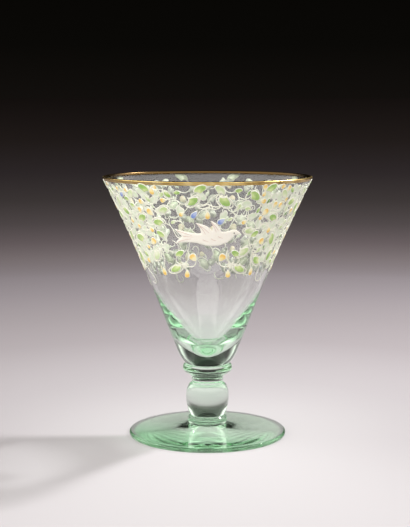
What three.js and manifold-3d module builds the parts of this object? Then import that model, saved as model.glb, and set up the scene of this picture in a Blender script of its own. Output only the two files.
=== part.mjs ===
// A stemmed glass: a flared bowl on a collar, a short neck, a knop, a lower collar and a round foot,
// all of pale green hand-worked glass, with a gilt lip and raised enamel of scrolls and a bird.
// Millimetres, +Z up. The origin is the middle of the surface that the glass stands on.
// The front of the decoration, with the bird, faces -Y.
import * as THREE from 'three';
import { mergeVertices } from 'three/addons/utils/BufferGeometryUtils.js';
import Module from 'manifold-3d';

// Heights of the stacked gathers of glass, each one sitting on the one before it.
const FOOT_HEIGHT = 6.3;
const FOOT_COLLAR_HEIGHT = 4.7;
const KNOP_HEIGHT = 19;
const NECK_HEIGHT = 6.3;
const MERESE_HEIGHT = 5.2;
const BOWL_HEIGHT = 108;

// Foot: a low cone with a rounded edge, hollowed underneath, so that it stands on a ground ring.
const FOOT_RADIUS = 45.4;
const FOOT_EDGE_THICKNESS = 2.4;
const FOOT_TOP_RADIUS = 10.6;
const FOOT_RISE_POWER = 1.6;
const GROUND_RING_WIDTH = 8;
const FOOT_HOLLOW_DEPTH = 3.3;

// Lower collar and knop.
const FOOT_COLLAR_SWELL = 0.9;
const KNOP_FOOT_RADIUS = 9.5;
const KNOP_RADIUS = 12.4;
const KNOP_BELLY_HEIGHT = 11;
const KNOP_LOWER_FULLNESS = 0.85;
const KNOP_UPPER_FULLNESS = 0.5;

// Neck and merese, the collar under the bowl.
const NECK_RADIUS = 8.9;
const NECK_FLARE_RADIUS = 12.2;
const NECK_FLARE_POWER = 3;
const MERESE_RADIUS = 14.25;

// Outside of the bowl: a short rounded base, then one long curve that opens towards the lip.
const BOWL_BASE_RADIUS = 12.7;
const BOWL_SHOULDER_HEIGHT = 8.5;
const BOWL_SHOULDER_RADIUS = 17.7;
const BOWL_BASE_BULGE = 3.2;
const BOWL_BASE_BULGE_HEIGHT = 3.9;
const RIM_RADIUS = 59.5;
const LOWER_WALL_SLOPE = 0.385;
const LOWER_WALL_REACH = 50;
const UPPER_WALL_SLOPE = 0.5;
const UPPER_WALL_REACH = 30;

// Inside of the bowl: a thin wall down to the thickening, then a rounded cavity over a solid base.
const WALL_THICKNESS = 1.6;
const LIP_RADIUS = 0.7;
const BASE_THICKNESS = 7;
const CAVITY_RISE = 39.5;
const CAVITY_WALL = 2.3;
const CAVITY_BOTTOM_REACH = 8;
const CAVITY_SIDE_REACH = 22;
const CAVITY_SIDE_SLOPE = 0.4;

// Gilding over the lip, and the raised enamel. Both stand a little clear of the glass under them.
const GILDING_CLEARANCE = 0.25;
const GILDING_THICKNESS = 0.25;
const GILDING_OUTSIDE_HEIGHT = 2.6;
const GILDING_INSIDE_HEIGHT = 1.6;
const ENAMEL_CLEARANCE = 0.3;
const ENAMEL_RELIEF = 0.35;
const ENAMEL_LINE_WIDTH = 0.9;
const ENAMEL_LINE_TAPER = 0.3;
const ENAMEL_TOP_BELOW_GILDING = 0.6;
const ENAMEL_BAND_HEIGHT = 55;
const BIRD_BELOW_LIP = 30.5;
const BIRD_LENGTH = 36;
const GARLAND_BELOW_LIP = 12;
const GARLAND_LENGTH = 38;
const GARLAND_SWAY = 3;
const GARLAND_COUNT = 8;
const CREST_BELOW_LIP = 12;
const CREST_LENGTH = 5;
const LOW_SPRAY_BELOW_LIP = 38;
const LOW_SPRAY_LENGTH = 11;
const LOW_SPRAY_OFFSET = 11;
const SMALL_SPRAY_SWAY = 1;
const LONGEST_CURL = 16;
const CURL_LEAVING_ANGLE = 63;
const CURL_TIGHTENING = 1.5;
const DROP_SEAT = 1.5;
const LARGE_DROP_LENGTH = 7;
const LARGE_DROP_WIDTH = 4.8;
const MIDDLE_DROP_LENGTH = 6.4;
const MIDDLE_DROP_WIDTH = 4.4;
const SMALL_DROP_LENGTH = 5.4;
const SMALL_DROP_WIDTH = 4.2;
const TIP_DROP_LENGTH = 5;
const TIP_DROP_WIDTH = 3;

// How finely the round pieces are cut into flat facets, and the enamel's outlines into straight steps.
const WIDE_SEGMENTS = 48;
const STEM_SEGMENTS = 32;
const WALL_STEPS = 5;
const CURVE_STEPS = 6;
const ROUND_STEPS = 4;
const STEM_LINE_STEPS = 5;
const CURL_STEPS = 4;
const DROP_STEPS = 6;

const footTop = FOOT_HEIGHT;
const collarTop = footTop + FOOT_COLLAR_HEIGHT;
const knopTop = collarTop + KNOP_HEIGHT;
const neckTop = knopTop + NECK_HEIGHT;
const mereseTop = neckTop + MERESE_HEIGHT;
const lipTop = mereseTop + BOWL_HEIGHT;

const wasm = await Module();
wasm.setup();

function glassMaterial(colour) {
  return new THREE.MeshStandardMaterial({
    color: colour,
    roughness: 0.04,
    metalness: 0,
    transparent: true,
    opacity: 0.45,
  });
}

function enamelMaterial(colour) {
  return new THREE.MeshStandardMaterial({ color: colour, roughness: 0.35, metalness: 0 });
}

// A profile point: distance from the axis and height.
function at(radius, height) {
  return new THREE.Vector2(radius, height);
}

// Points from one height to another whose radius follows a rule of the fraction climbed, ends included.
function climb(fromHeight, toHeight, steps, radiusAt) {
  return Array.from({ length: steps + 1 }, (_, i) => {
    const t = i / steps;
    return at(radiusAt(t), fromHeight + (toHeight - fromHeight) * t);
  });
}

// Turns a closed profile round the Z axis.
function turned(name, profile, segments, material) {
  const geometry = new THREE.LatheGeometry(profile, segments);
  geometry.rotateX(Math.PI / 2);
  const mesh = new THREE.Mesh(geometry, material);
  mesh.name = name;
  return mesh;
}

// A ring that swells from its lower and upper joints to its widest at mid height.
function swellProfile(bottom, top, bottomRadius, topRadius, widest) {
  const side = climb(bottom, top, ROUND_STEPS, (t) => {
    const joint = bottomRadius + (topRadius - bottomRadius) * t;
    return joint + (widest - joint) * Math.sqrt(1 - (2 * t - 1) ** 2);
  });
  return [at(0, bottom), ...side, at(0, top)];
}

function foot() {
  const edge = FOOT_EDGE_THICKNESS / 2;
  const edgeCentre = FOOT_RADIUS - edge;
  const roundEdge = Array.from({ length: ROUND_STEPS + 1 }, (_, i) => {
    const turn = Math.PI * (i / ROUND_STEPS - 0.5);
    return at(edgeCentre + edge * Math.cos(turn), edge + edge * Math.sin(turn));
  });
  const rise = Array.from({ length: ROUND_STEPS }, (_, i) => {
    const inward = (i + 1) / ROUND_STEPS;
    const radius = edgeCentre + (FOOT_TOP_RADIUS - edgeCentre) * inward;
    return at(radius, FOOT_EDGE_THICKNESS + (footTop - FOOT_EDGE_THICKNESS) * inward ** FOOT_RISE_POWER);
  });
  const hollow = Array.from({ length: ROUND_STEPS + 1 }, (_, i) => {
    const outward = i / ROUND_STEPS;
    const depth = FOOT_HOLLOW_DEPTH * (1 - outward) ** FOOT_RISE_POWER;
    return at((edgeCentre - GROUND_RING_WIDTH) * outward, depth);
  });
  const profile = [...hollow, ...roundEdge, ...rise, at(0, footTop)];
  return turned('foot', profile, WIDE_SEGMENTS, glassMaterial(0x9ccfae));
}

function footCollar() {
  const widest = FOOT_TOP_RADIUS + FOOT_COLLAR_SWELL;
  const profile = swellProfile(footTop, collarTop, FOOT_TOP_RADIUS, KNOP_FOOT_RADIUS, widest);
  return turned('foot_collar', profile, STEM_SEGMENTS, glassMaterial(0xa9d3b5));
}

// The knop is widest above its middle: it tapers slowly below and closes quickly above.
function knop() {
  const belly = collarTop + KNOP_BELLY_HEIGHT;
  const swelling = (joint, away, fullness) => joint + (KNOP_RADIUS - joint) * (1 - away ** 2) ** fullness;
  const below = climb(collarTop, belly, CURVE_STEPS, (t) =>
    swelling(KNOP_FOOT_RADIUS, 1 - t, KNOP_LOWER_FULLNESS),
  );
  const above = climb(belly, knopTop, CURVE_STEPS, (t) => swelling(NECK_RADIUS, t, KNOP_UPPER_FULLNESS));
  const profile = [at(0, collarTop), ...below, ...above.slice(1), at(0, knopTop)];
  return turned('knop', profile, STEM_SEGMENTS, glassMaterial(0xb4d6bd));
}

function neck() {
  const side = climb(
    knopTop,
    neckTop,
    ROUND_STEPS,
    (t) => NECK_RADIUS + (NECK_FLARE_RADIUS - NECK_RADIUS) * t ** NECK_FLARE_POWER,
  );
  return turned('neck', [at(0, knopTop), ...side, at(0, neckTop)], STEM_SEGMENTS, glassMaterial(0xb4d6bd));
}

function merese() {
  const profile = swellProfile(neckTop, mereseTop, NECK_FLARE_RADIUS, BOWL_BASE_RADIUS, MERESE_RADIUS);
  return turned('merese', profile, STEM_SEGMENTS, glassMaterial(0xa9d3b5));
}

// The short rounded stretch from the merese to the shoulder.
const baseCurve = new THREE.QuadraticBezierCurve(
  at(BOWL_BASE_RADIUS, mereseTop),
  at(BOWL_BASE_RADIUS + BOWL_BASE_BULGE, mereseTop + BOWL_BASE_BULGE_HEIGHT),
  at(BOWL_SHOULDER_RADIUS, mereseTop + BOWL_SHOULDER_HEIGHT),
);

// The long wall from the shoulder to the lip's rounding.
const wallBottom = at(BOWL_SHOULDER_RADIUS, mereseTop + BOWL_SHOULDER_HEIGHT);
const wallTop = at(RIM_RADIUS, lipTop - LIP_RADIUS);
const wallCurve = new THREE.CubicBezierCurve(
  wallBottom,
  at(wallBottom.x + LOWER_WALL_SLOPE * LOWER_WALL_REACH, wallBottom.y + LOWER_WALL_REACH),
  at(wallTop.x - UPPER_WALL_SLOPE * UPPER_WALL_REACH, wallTop.y - UPPER_WALL_REACH),
  wallTop,
);

// The outside wall at a fraction of its curve, moved out from the axis by an offset.
function wallPoint(fraction, offset) {
  const point = wallCurve.getPoint(fraction);
  return at(point.x + offset, point.y);
}

// The fraction of the wall's curve at which it reaches a height.
function wallFractionAt(height) {
  let low = 0;
  let high = 1;
  while (high - low > 1e-6) {
    const middle = (low + high) / 2;
    if (wallCurve.getPoint(middle).y < height) low = middle;
    else high = middle;
  }
  return low;
}

const wallFractions = Array.from({ length: WALL_STEPS + 1 }, (_, i) => i / WALL_STEPS);

// The rounded lip in steps from the outside over the crest to the inside.
function lipArc(grow) {
  const centre = wallPoint(1, -WALL_THICKNESS / 2);
  return Array.from({ length: ROUND_STEPS + 1 }, (_, i) => {
    const turn = (Math.PI * i) / ROUND_STEPS;
    const out = Math.cos(turn) * (WALL_THICKNESS / 2 + grow);
    return at(centre.x + out, centre.y + Math.sin(turn) * (LIP_RADIUS + grow));
  });
}

// The cavity, from its lowest point on the axis up to where the wall reaches its even thickness.
function cavityCurve() {
  const floor = mereseTop + BASE_THICKNESS;
  const top = floor + CAVITY_RISE;
  const wall = wallPoint(wallFractionAt(top), -CAVITY_WALL);
  return new THREE.CubicBezierCurve(
    at(0, floor),
    at(CAVITY_BOTTOM_REACH, floor),
    at(wall.x - CAVITY_SIDE_SLOPE * CAVITY_SIDE_REACH, wall.y - CAVITY_SIDE_REACH),
    wall,
  );
}

function bowl() {
  const outside = wallFractions.map((fraction) => wallPoint(fraction, 0));
  const cavity = cavityCurve();
  const cavityTop = wallFractionAt(cavity.getPoint(1).y);
  const innerSteps = Math.ceil(WALL_STEPS / 2);
  const inside = Array.from({ length: innerSteps }, (_, i) => {
    const fraction = 1 + ((cavityTop - 1) * i) / innerSteps;
    const thickening = (CAVITY_WALL - WALL_THICKNESS) * (i / innerSteps) ** 2;
    return wallPoint(fraction, -WALL_THICKNESS - thickening);
  });
  const profile = [
    at(0, mereseTop),
    ...baseCurve.getPoints(ROUND_STEPS),
    ...outside.slice(1, -1),
    ...lipArc(0),
    ...inside.slice(1),
    ...cavity.getPoints(CURVE_STEPS).reverse(),
  ];
  return turned('bowl', profile, WIDE_SEGMENTS, glassMaterial(0xcfe6d6));
}

// Gilding fired over the lip: a thin band folded over the crest, deeper outside than inside.
function giltRim() {
  const band = (grow) => {
    const outside = wallPoint(wallFractionAt(lipTop - GILDING_OUTSIDE_HEIGHT), grow);
    const inside = wallPoint(wallFractionAt(lipTop - GILDING_INSIDE_HEIGHT), -WALL_THICKNESS - grow);
    return [outside, ...lipArc(grow), inside];
  };
  const outer = band(GILDING_CLEARANCE + GILDING_THICKNESS);
  const inner = band(GILDING_CLEARANCE).reverse();
  const gold = new THREE.MeshStandardMaterial({ color: 0xb88a35, roughness: 0.3, metalness: 1 });
  return turned('gilt_rim', [...outer, ...inner, outer[0]], WIDE_SEGMENTS, gold);
}

// Turns a geometry with merged corners into a solid that can be joined and cut.
function solidOf(geometry) {
  geometry.deleteAttribute('normal');
  geometry.deleteAttribute('uv');
  const merged = mergeVertices(geometry);
  return new wasm.Manifold(
    new wasm.Mesh({
      numProp: 3,
      vertProperties: merged.attributes.position.array,
      triVerts: new Uint32Array(merged.index.array),
    }),
  );
}

function meshOf(name, solid, material) {
  const { vertProperties, triVerts } = solid.getMesh();
  const geometry = new THREE.BufferGeometry();
  geometry.setAttribute('position', new THREE.BufferAttribute(vertProperties, 3));
  geometry.setIndex(new THREE.BufferAttribute(triVerts, 1));
  geometry.computeVertexNormals();
  const mesh = new THREE.Mesh(geometry, material);
  mesh.name = name;
  return mesh;
}

// The thin layer round the bowl that all enamel is cut from, so that it follows the glass.
function enamelLayer() {
  const bandTop = lipTop - GILDING_OUTSIDE_HEIGHT - ENAMEL_TOP_BELOW_GILDING;
  const highest = wallFractionAt(bandTop);
  const lowest = wallFractionAt(bandTop - ENAMEL_BAND_HEIGHT);
  const between = wallFractions.filter((fraction) => fraction > lowest && fraction < highest);
  const fractions = [lowest, ...between, highest];
  const inner = fractions.map((fraction) => wallPoint(fraction, ENAMEL_CLEARANCE));
  const outer = fractions.map((fraction) => wallPoint(fraction, ENAMEL_CLEARANCE + ENAMEL_RELIEF));
  return solidOf(turned('layer', [...outer, ...inner.reverse(), outer[0]], WIDE_SEGMENTS, null).geometry);
}

const layer = enamelLayer();

// Punches a flat outline out of the layer: x runs to the right round the bowl, y up from the lip,
// and the angle is measured from the front.
function stamped(outline, angle) {
  const geometry = new THREE.ExtrudeGeometry(new THREE.Shape(outline), {
    depth: RIM_RADIUS + ENAMEL_CLEARANCE + ENAMEL_RELIEF,
    steps: 1,
    bevelEnabled: false,
  });
  const right = new THREE.Vector3(Math.cos(angle), Math.sin(angle), 0);
  const up = new THREE.Vector3(0, 0, 1);
  const outward = new THREE.Vector3(Math.sin(angle), -Math.cos(angle), 0);
  geometry.applyMatrix4(new THREE.Matrix4().makeBasis(right, up, outward).setPosition(0, 0, lipTop));
  return solidOf(geometry);
}

// A painted line along a row of points, as wide at its start as the brush and finer at its end.
function brushLine(points) {
  const sides = points.map((point, i) => {
    const before = points[Math.max(i - 1, 0)];
    const after = points[Math.min(i + 1, points.length - 1)];
    const along = after.clone().sub(before).normalize();
    const half = (ENAMEL_LINE_WIDTH / 2) * (1 - (ENAMEL_LINE_TAPER * i) / points.length);
    const across = at(along.y * half, -along.x * half);
    return { right: point.clone().add(across), left: point.clone().sub(across) };
  });
  return [...sides.map((side) => side.right), ...sides.map((side) => side.left).reverse()];
}

// The middle line of a curl: it sets off at a heading, and its bend tightens along its length.
function curlLine(start, heading, length, turn) {
  const step = length / CURL_STEPS;
  const points = [start];
  for (let i = 0; i < CURL_STEPS; i += 1) {
    const direction = heading + turn * ((i + 0.5) / CURL_STEPS) ** CURL_TIGHTENING;
    const last = points.at(-1);
    points.push(at(last.x + Math.cos(direction) * step, last.y + Math.sin(direction) * step));
  }
  return points;
}

// A drop-shaped leaf or berry, pointed where it sits back over the end of a line and round at its far
// end. The product of the two sines peaks at 0.77, so its inverse makes the drop as wide as asked.
function drop(lineEnd, heading, length, width) {
  const fullness = 1 / 0.77;
  const root = at(lineEnd.x - DROP_SEAT * Math.cos(heading), lineEnd.y - DROP_SEAT * Math.sin(heading));
  return Array.from({ length: DROP_STEPS }, (_, i) => {
    const turn = (2 * Math.PI * (i + 0.5)) / DROP_STEPS;
    const along = (length * (1 - Math.cos(turn))) / 2;
    const across = (-width / 2) * fullness * Math.sin(turn) * Math.sin(turn / 2);
    return at(
      root.x + along * Math.cos(heading) - across * Math.sin(heading),
      root.y + along * Math.sin(heading) + across * Math.cos(heading),
    );
  });
}

const largeDrop = [LARGE_DROP_LENGTH, LARGE_DROP_WIDTH];
const middleDrop = [MIDDLE_DROP_LENGTH, MIDDLE_DROP_WIDTH];
const smallDrop = [SMALL_DROP_LENGTH, SMALL_DROP_WIDTH];

// The curls of a spray, down its stem: where each leaves the stem, to which side, how long it is beside
// the longest one, how far it turns in degrees, and the drop at its end.
const CURLS = [
  { down: 0.02, side: -1, reach: 1, turn: 200, drop: largeDrop },
  { down: 0.1, side: 1, reach: 0.9375, turn: 180, drop: middleDrop },
  { down: 0.3, side: -1, reach: 0.8125, turn: 170, drop: smallDrop },
  { down: 0.38, side: 1, reach: 0.8125, turn: 205, drop: middleDrop },
  { down: 0.6, side: -1, reach: 0.625, turn: 190, drop: smallDrop },
  { down: 0.7, side: 1, reach: 0.5625, turn: 160, drop: smallDrop },
];

// A spray: a swaying stem with curls to both sides and a drop at the end of each of them.
function sprayOutlines({ length, sway, curls, x, belowLip, mirror }) {
  const stemAt = (fraction) =>
    at(x + mirror * sway * Math.sin(2 * Math.PI * fraction), -belowLip - length * fraction);
  const stem = Array.from({ length: STEM_LINE_STEPS + 1 }, (_, i) => stemAt(i / STEM_LINE_STEPS));
  const down = -Math.PI / 2;
  const outlines = [brushLine(stem), drop(stem.at(-1), down, TIP_DROP_LENGTH, TIP_DROP_WIDTH)];
  for (const curl of curls) {
    const side = curl.side * mirror;
    const heading = down + side * THREE.MathUtils.degToRad(CURL_LEAVING_ANGLE);
    const turn = side * THREE.MathUtils.degToRad(curl.turn);
    const line = curlLine(stemAt(curl.down), heading, LONGEST_CURL * curl.reach, turn);
    const end = line.at(-1);
    const back = line.at(-2);
    outlines.push(brushLine(line));
    outlines.push(drop(end, Math.atan2(end.y - back.y, end.x - back.x), ...curl.drop));
  }
  return outlines;
}

// Joins outlines into one connected piece of enamel on the bowl.
function enamel(name, outlines, angle, colour) {
  const prisms = outlines.map((outline) => stamped(outline, angle));
  const joined = prisms.reduce((sum, prism) => sum.add(prism));
  return meshOf(name, joined.intersect(layer), enamelMaterial(colour));
}

// A bird in flight, seen from the side, with both wings raised and a forked tail. Its points are
// given in 36ths of the bird's length, from its middle.
function birdOutline() {
  const unit = BIRD_LENGTH / 36;
  const centre = -BIRD_BELOW_LIP;
  const path = new THREE.Path();
  const to = (x, y) => [x * unit, centre + y * unit];
  const bend = (a, b, c, d) => path.quadraticCurveTo(...to(a, b), ...to(c, d));
  path.moveTo(...to(18, 1.6));
  bend(15.6, 4.9, 12.2, 3.8);
  bend(9.5, 2.8, 7.2, 3.2);
  bend(6.8, 7.2, 1.5, 9.4);
  bend(3.2, 6.6, 2.4, 3.6);
  bend(0.4, 7, -6.5, 8);
  bend(-3.4, 5.2, -3.6, 2.2);
  bend(-8, 1.8, -18, 4.6);
  bend(-15.5, 1.8, -13.6, 0.2);
  bend(-16, -1.2, -17.2, -3.8);
  bend(-9, -2.2, -4, -3.8);
  bend(4, -6.8, 11, -2.8);
  bend(13.2, -1.4, 14.2, 0.8);
  path.lineTo(...to(18, 1.6));
  return path.getPoints(3).slice(0, -1).reverse();
}

function garlands() {
  const spacing = (2 * Math.PI) / (GARLAND_COUNT + 1);
  return Array.from({ length: GARLAND_COUNT }, (_, i) => {
    const spray = {
      length: GARLAND_LENGTH,
      sway: GARLAND_SWAY,
      curls: CURLS,
      x: 0,
      belowLip: GARLAND_BELOW_LIP,
      mirror: i % 2 === 0 ? 1 : -1,
    };
    return enamel(`enamel_garland_${i + 1}`, sprayOutlines(spray), spacing * (i + 1), 0xb9d89a);
  });
}

function crestSpray() {
  const spray = {
    length: CREST_LENGTH,
    sway: SMALL_SPRAY_SWAY,
    curls: CURLS.slice(0, 4),
    x: 0,
    belowLip: CREST_BELOW_LIP,
    mirror: 1,
  };
  return enamel('enamel_crest_spray', sprayOutlines(spray), 0, 0xb9d89a);
}

function lowSpray(name, mirror) {
  const spray = {
    length: LOW_SPRAY_LENGTH,
    sway: SMALL_SPRAY_SWAY,
    curls: CURLS.slice(4),
    x: mirror * LOW_SPRAY_OFFSET,
    belowLip: LOW_SPRAY_BELOW_LIP,
    mirror,
  };
  return enamel(name, sprayOutlines(spray), 0, 0xe8c46a);
}

const stemmedGlass = new THREE.Group();
stemmedGlass.name = 'stemmed_glass';
stemmedGlass.add(foot(), footCollar(), knop(), neck(), merese(), bowl(), giltRim());
stemmedGlass.add(enamel('enamel_bird', [birdOutline()], 0, 0xf3ece4));
stemmedGlass.add(crestSpray());
stemmedGlass.add(lowSpray('enamel_low_spray_left', -1));
stemmedGlass.add(lowSpray('enamel_low_spray_right', 1));
stemmedGlass.add(...garlands());

export default stemmedGlass;
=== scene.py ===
"""Looks of a stemmed glass: pale green hand-made glass, a gilt lip and raised enamel scrollwork.

Sizes are written in millimetres, as on a maker's drawing, and become metres in mm(). Heights are
measured from the surface that the glass stands on, and the front of the decoration faces -Y.
"""

import logging
import math
import random
from collections.abc import Callable, Iterable
from dataclasses import dataclass
from enum import Enum
from functools import partial

import bmesh
import bpy
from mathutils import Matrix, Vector
from mathutils.geometry import delaunay_2d_cdt


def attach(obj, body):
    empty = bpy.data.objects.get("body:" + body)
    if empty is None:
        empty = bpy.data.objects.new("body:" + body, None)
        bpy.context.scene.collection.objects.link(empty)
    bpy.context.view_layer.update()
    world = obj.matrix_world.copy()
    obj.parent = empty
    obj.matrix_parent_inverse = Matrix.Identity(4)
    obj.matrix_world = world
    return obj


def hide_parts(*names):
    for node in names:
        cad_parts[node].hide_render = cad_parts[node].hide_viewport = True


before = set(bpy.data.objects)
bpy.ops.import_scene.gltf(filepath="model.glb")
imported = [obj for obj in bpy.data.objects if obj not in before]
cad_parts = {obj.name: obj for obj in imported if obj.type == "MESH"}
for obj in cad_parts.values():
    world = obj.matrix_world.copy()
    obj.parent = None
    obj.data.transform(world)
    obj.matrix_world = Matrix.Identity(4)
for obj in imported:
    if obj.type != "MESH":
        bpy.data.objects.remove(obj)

LOG = logging.getLogger("stemmed_glass")
BODY = "root"
SMOOTH = {"interpolation_type": "SMOOTHSTEP"}

# TINY is in the unit at hand. SOFT_SPAN is how many reaches a rounding spreads over. A drop's heart is
# a share of its length, its narrowing keeps its width at 1, and a leaf's bend is in radians.
TINY = 1e-6
SOFT_SPAN = 2.5
DROP_NARROWING = 0.77
DROP_HEART = 0.62
LEAF_BEND = 2.0

Point = tuple[float, float]
Pair = tuple[float, float]
Triple = tuple[float, float, float]
Stops = tuple[tuple[float, str], ...]
Adder = Callable[..., bpy.types.Node]
Material = bpy.types.Material
Mesh = bpy.types.Mesh
Node = bpy.types.Node
Object = bpy.types.Object
Socket = bpy.types.NodeSocket
Tree = bpy.types.NodeTree


def mm(millimetres: float) -> float:
    """Returns a length in metres."""
    return millimetres / 1000.0


def linear(hex_colour: str) -> tuple[float, float, float, float]:
    """Turns six sRGB hex digits after a hash to linear red, green, blue and full alpha."""
    parts = [int(hex_colour[i : i + 2], 16) / 255 for i in (1, 3, 5)]
    return *(part / 12.92 if part <= 0.04045 else ((part + 0.055) / 1.055) ** 2.4 for part in parts), 1.0


def add_node(tree: Tree, kind: str, inputs: dict | Iterable = (), **settings: object) -> Node:
    """Adds a node with its settings, socket values and links.

    Args:
        tree: The tree that gets the node.
        kind: The node's Blender type.
        inputs: Values in the order of the sockets, or by a socket's name or number. A socket, or a
            node with its first output, feeds the input.
        **settings: The node's own settings.

    Returns:
        The new node.
    """
    node = tree.nodes.new(kind)
    for name, value in settings.items():
        setattr(node, name, value)
    given = inputs if isinstance(inputs, dict) else dict(enumerate(inputs))
    for key, value in given.items():
        source = value.outputs[0] if isinstance(value, Node) else value
        if isinstance(source, Socket):
            tree.links.new(source, node.inputs[key])
        else:
            node.inputs[key].default_value = source
    return node


def set_ramp(ramp: Node, stops: Iterable[tuple[float, str]]) -> Node:
    """Gives a Color Ramp node its stops, positions from 0 to 1 with sRGB hex colours, and returns it."""
    wanted = list(stops)
    elements = ramp.color_ramp.elements
    while len(elements) < len(wanted):
        elements.new(1.0)
    for element, (position, colour) in zip(elements, wanted):
        element.position = position
        element.color = linear(colour)
    return ramp


def new_material(name: str) -> tuple[Material, Adder]:
    """Returns a new material and the function that adds its nodes."""
    material = bpy.data.materials.new(name)
    material.use_nodes = True
    material.node_tree.nodes.clear()
    return material, partial(add_node, material.node_tree)


def new_geometry_tree(name: str, **sockets: str) -> tuple[Tree, Adder, dict[str, Socket]]:
    """Starts a Geometry Nodes tree with named inputs.

    Args:
        name: The tree's name.
        **sockets: Input name, with _ for a space, to the last word of its socket type.

    Returns:
        The tree, the function that adds its nodes, and its inputs by name.
    """
    tree = bpy.data.node_groups.new(name, "GeometryNodeTree")
    for label, kind in {"Geometry": "Geometry", **sockets}.items():
        tree.interface.new_socket(
            name=label.replace("_", " "), in_out="INPUT", socket_type=f"NodeSocket{kind}"
        )
    tree.interface.new_socket(name="Geometry", in_out="OUTPUT", socket_type="NodeSocketGeometry")
    start = tree.nodes.new("NodeGroupInput")
    return tree, partial(add_node, tree), {socket.name: socket for socket in start.outputs if socket.name}


def end_geometry_tree(add: Adder, geometry: Node | Socket, material: Socket) -> None:
    """Ends a Geometry Nodes tree with smooth faces, real geometry and its material."""
    smooth = add("GeometryNodeSetShadeSmooth", {"Geometry": geometry})
    real = add("GeometryNodeRealizeInstances", {"Geometry": smooth})
    add("NodeGroupOutput", (add("GeometryNodeSetMaterial", {"Geometry": real, "Material": material}),))


def new_object(name: str, data: bpy.types.ID) -> Object:
    """Returns a new object of the scene."""
    item = bpy.data.objects.new(name, data)
    bpy.context.scene.collection.objects.link(item)
    return item


def new_mesh(name: str, vertices: list, edges: list, faces: list, **numbers: list[float]) -> Mesh:
    """Returns a mesh whose vertices carry the given numbers as attributes."""
    mesh = bpy.data.meshes.new(name)
    mesh.from_pydata(vertices, edges, faces)
    for label, values in numbers.items():
        mesh.attributes.new(label, "FLOAT", "POINT").data.foreach_set("value", values)
    return mesh


def shaped(name: str, source: Mesh, tree: Tree, values: dict[str, object]) -> Object:
    """Runs a Geometry Nodes tree on a mesh and keeps the result as a plain mesh at the origin.

    Args:
        name: The new piece's name.
        source: The mesh that the tree starts from.
        tree: The Geometry Nodes tree.
        values: The tree's input values by their names.

    Returns:
        The new piece, with the faces of its closed shells pointing outwards.
    """
    carrier = new_object(f"{name}_source", source)
    modifier = carrier.modifiers.new("shape", "NODES")
    modifier.node_group = tree
    for item in tree.interface.items_tree:
        if item.in_out == "INPUT" and item.name in values:
            modifier[item.identifier] = values[item.name]
    depsgraph = bpy.context.evaluated_depsgraph_get()
    mesh = bpy.data.meshes.new_from_object(carrier.evaluated_get(depsgraph), depsgraph=depsgraph)
    carrier.modifiers.remove(modifier)
    bpy.data.objects.remove(carrier)
    mesh.name = name
    work = bmesh.new()
    work.from_mesh(mesh)
    bmesh.ops.recalc_face_normals(work, faces=work.faces)
    work.to_mesh(mesh)
    work.free()
    LOG.info("%s: %d faces", name, len(mesh.polygons))
    return new_object(name, mesh)


def place_piece(piece: Object, slot: str, *nodes: str) -> None:
    """Puts a piece on its body and in the place of the CAD nodes."""
    if nodes:
        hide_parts(*nodes)
    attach(piece, BODY)


def ring_faces(first: int, rings: int, count: int) -> list[tuple[int, ...]]:
    """Returns the faces between neighbouring rings of vertices.

    Args:
        first: The number of the first ring's first vertex.
        rings: How many rings there are.
        count: How many vertices each ring has.
    """
    starts = range(first, first + (rings - 1) * count, count)
    steps = [(i, (i + 1) % count) for i in range(count)]
    return [(low + i, low + count + i, low + count + j, low + j) for low in starts for i, j in steps]


def between(a: Point, b: Point, share: float) -> Point:
    """Returns the point at a share of the way from one point to another."""
    return a[0] + (b[0] - a[0]) * share, a[1] + (b[1] - a[1]) * share


def moved(place: Point, heading: float, distance: float) -> Point:
    """Returns the point at a distance from a place along a heading."""
    return place[0] + distance * math.cos(heading), place[1] + distance * math.sin(heading)


def bezier(controls: list[Point], steps: int) -> list[Point]:
    """Returns points on a Bezier curve, both ends included.

    Args:
        controls: The curve's control points.
        steps: How many straight steps to cut it into.
    """
    points = []
    for i in range(steps + 1):
        row = controls
        while len(row) > 1:
            row = [between(a, b, i / steps) for a, b in zip(row, row[1:])]
        points.append(row[0])
    return points


def walk(start: Point, headings: list[float], length: float) -> list[Point]:
    """Returns the points of a line that takes equal steps along the given headings."""
    points = [start]
    for heading in headings:
        points.append(moved(points[-1], heading, length / len(headings)))
    return points


def winding(leaving: float, turn: float, power: float, steps: int) -> list[float]:
    """Returns the headings of a line that winds tighter towards its end.

    Args:
        leaving: The heading that it starts with.
        turn: How far it turns in all.
        power: How much tighter it winds at its end.
        steps: How many steps it takes.
    """
    return [leaving + turn * ((i + 0.5) / steps) ** power for i in range(steps)]


def is_inside(point: Point, outline: list[Point]) -> bool:
    """Says whether a point lies inside a closed outline."""
    x, y = point
    hit = False
    for (x0, y0), (x1, y1) in zip(outline, outline[1:] + outline[:1]):
        if (y0 > y) != (y1 > y) and x < x0 + (y - y0) / (y1 - y0) * (x1 - x0):
            hit = not hit
    return hit


def evenly(points: list[Point], spacing: float) -> list[Point]:
    """Returns points at an even spacing along a line, both ends included."""
    along = [0.0]
    for a, b in zip(points, points[1:]):
        along.append(along[-1] + math.dist(a, b))
    count = max(2, round(along[-1] / spacing))
    result = []
    k = 0
    for i in range(count + 1):
        target = along[-1] * i / count
        while k < len(points) - 2 and along[k + 1] < target:
            k += 1
        share = (target - along[k]) / max(along[k + 1] - along[k], TINY)
        result.append(between(points[k], points[k + 1], min(max(share, 0.0), 1.0)))
    return result


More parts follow.
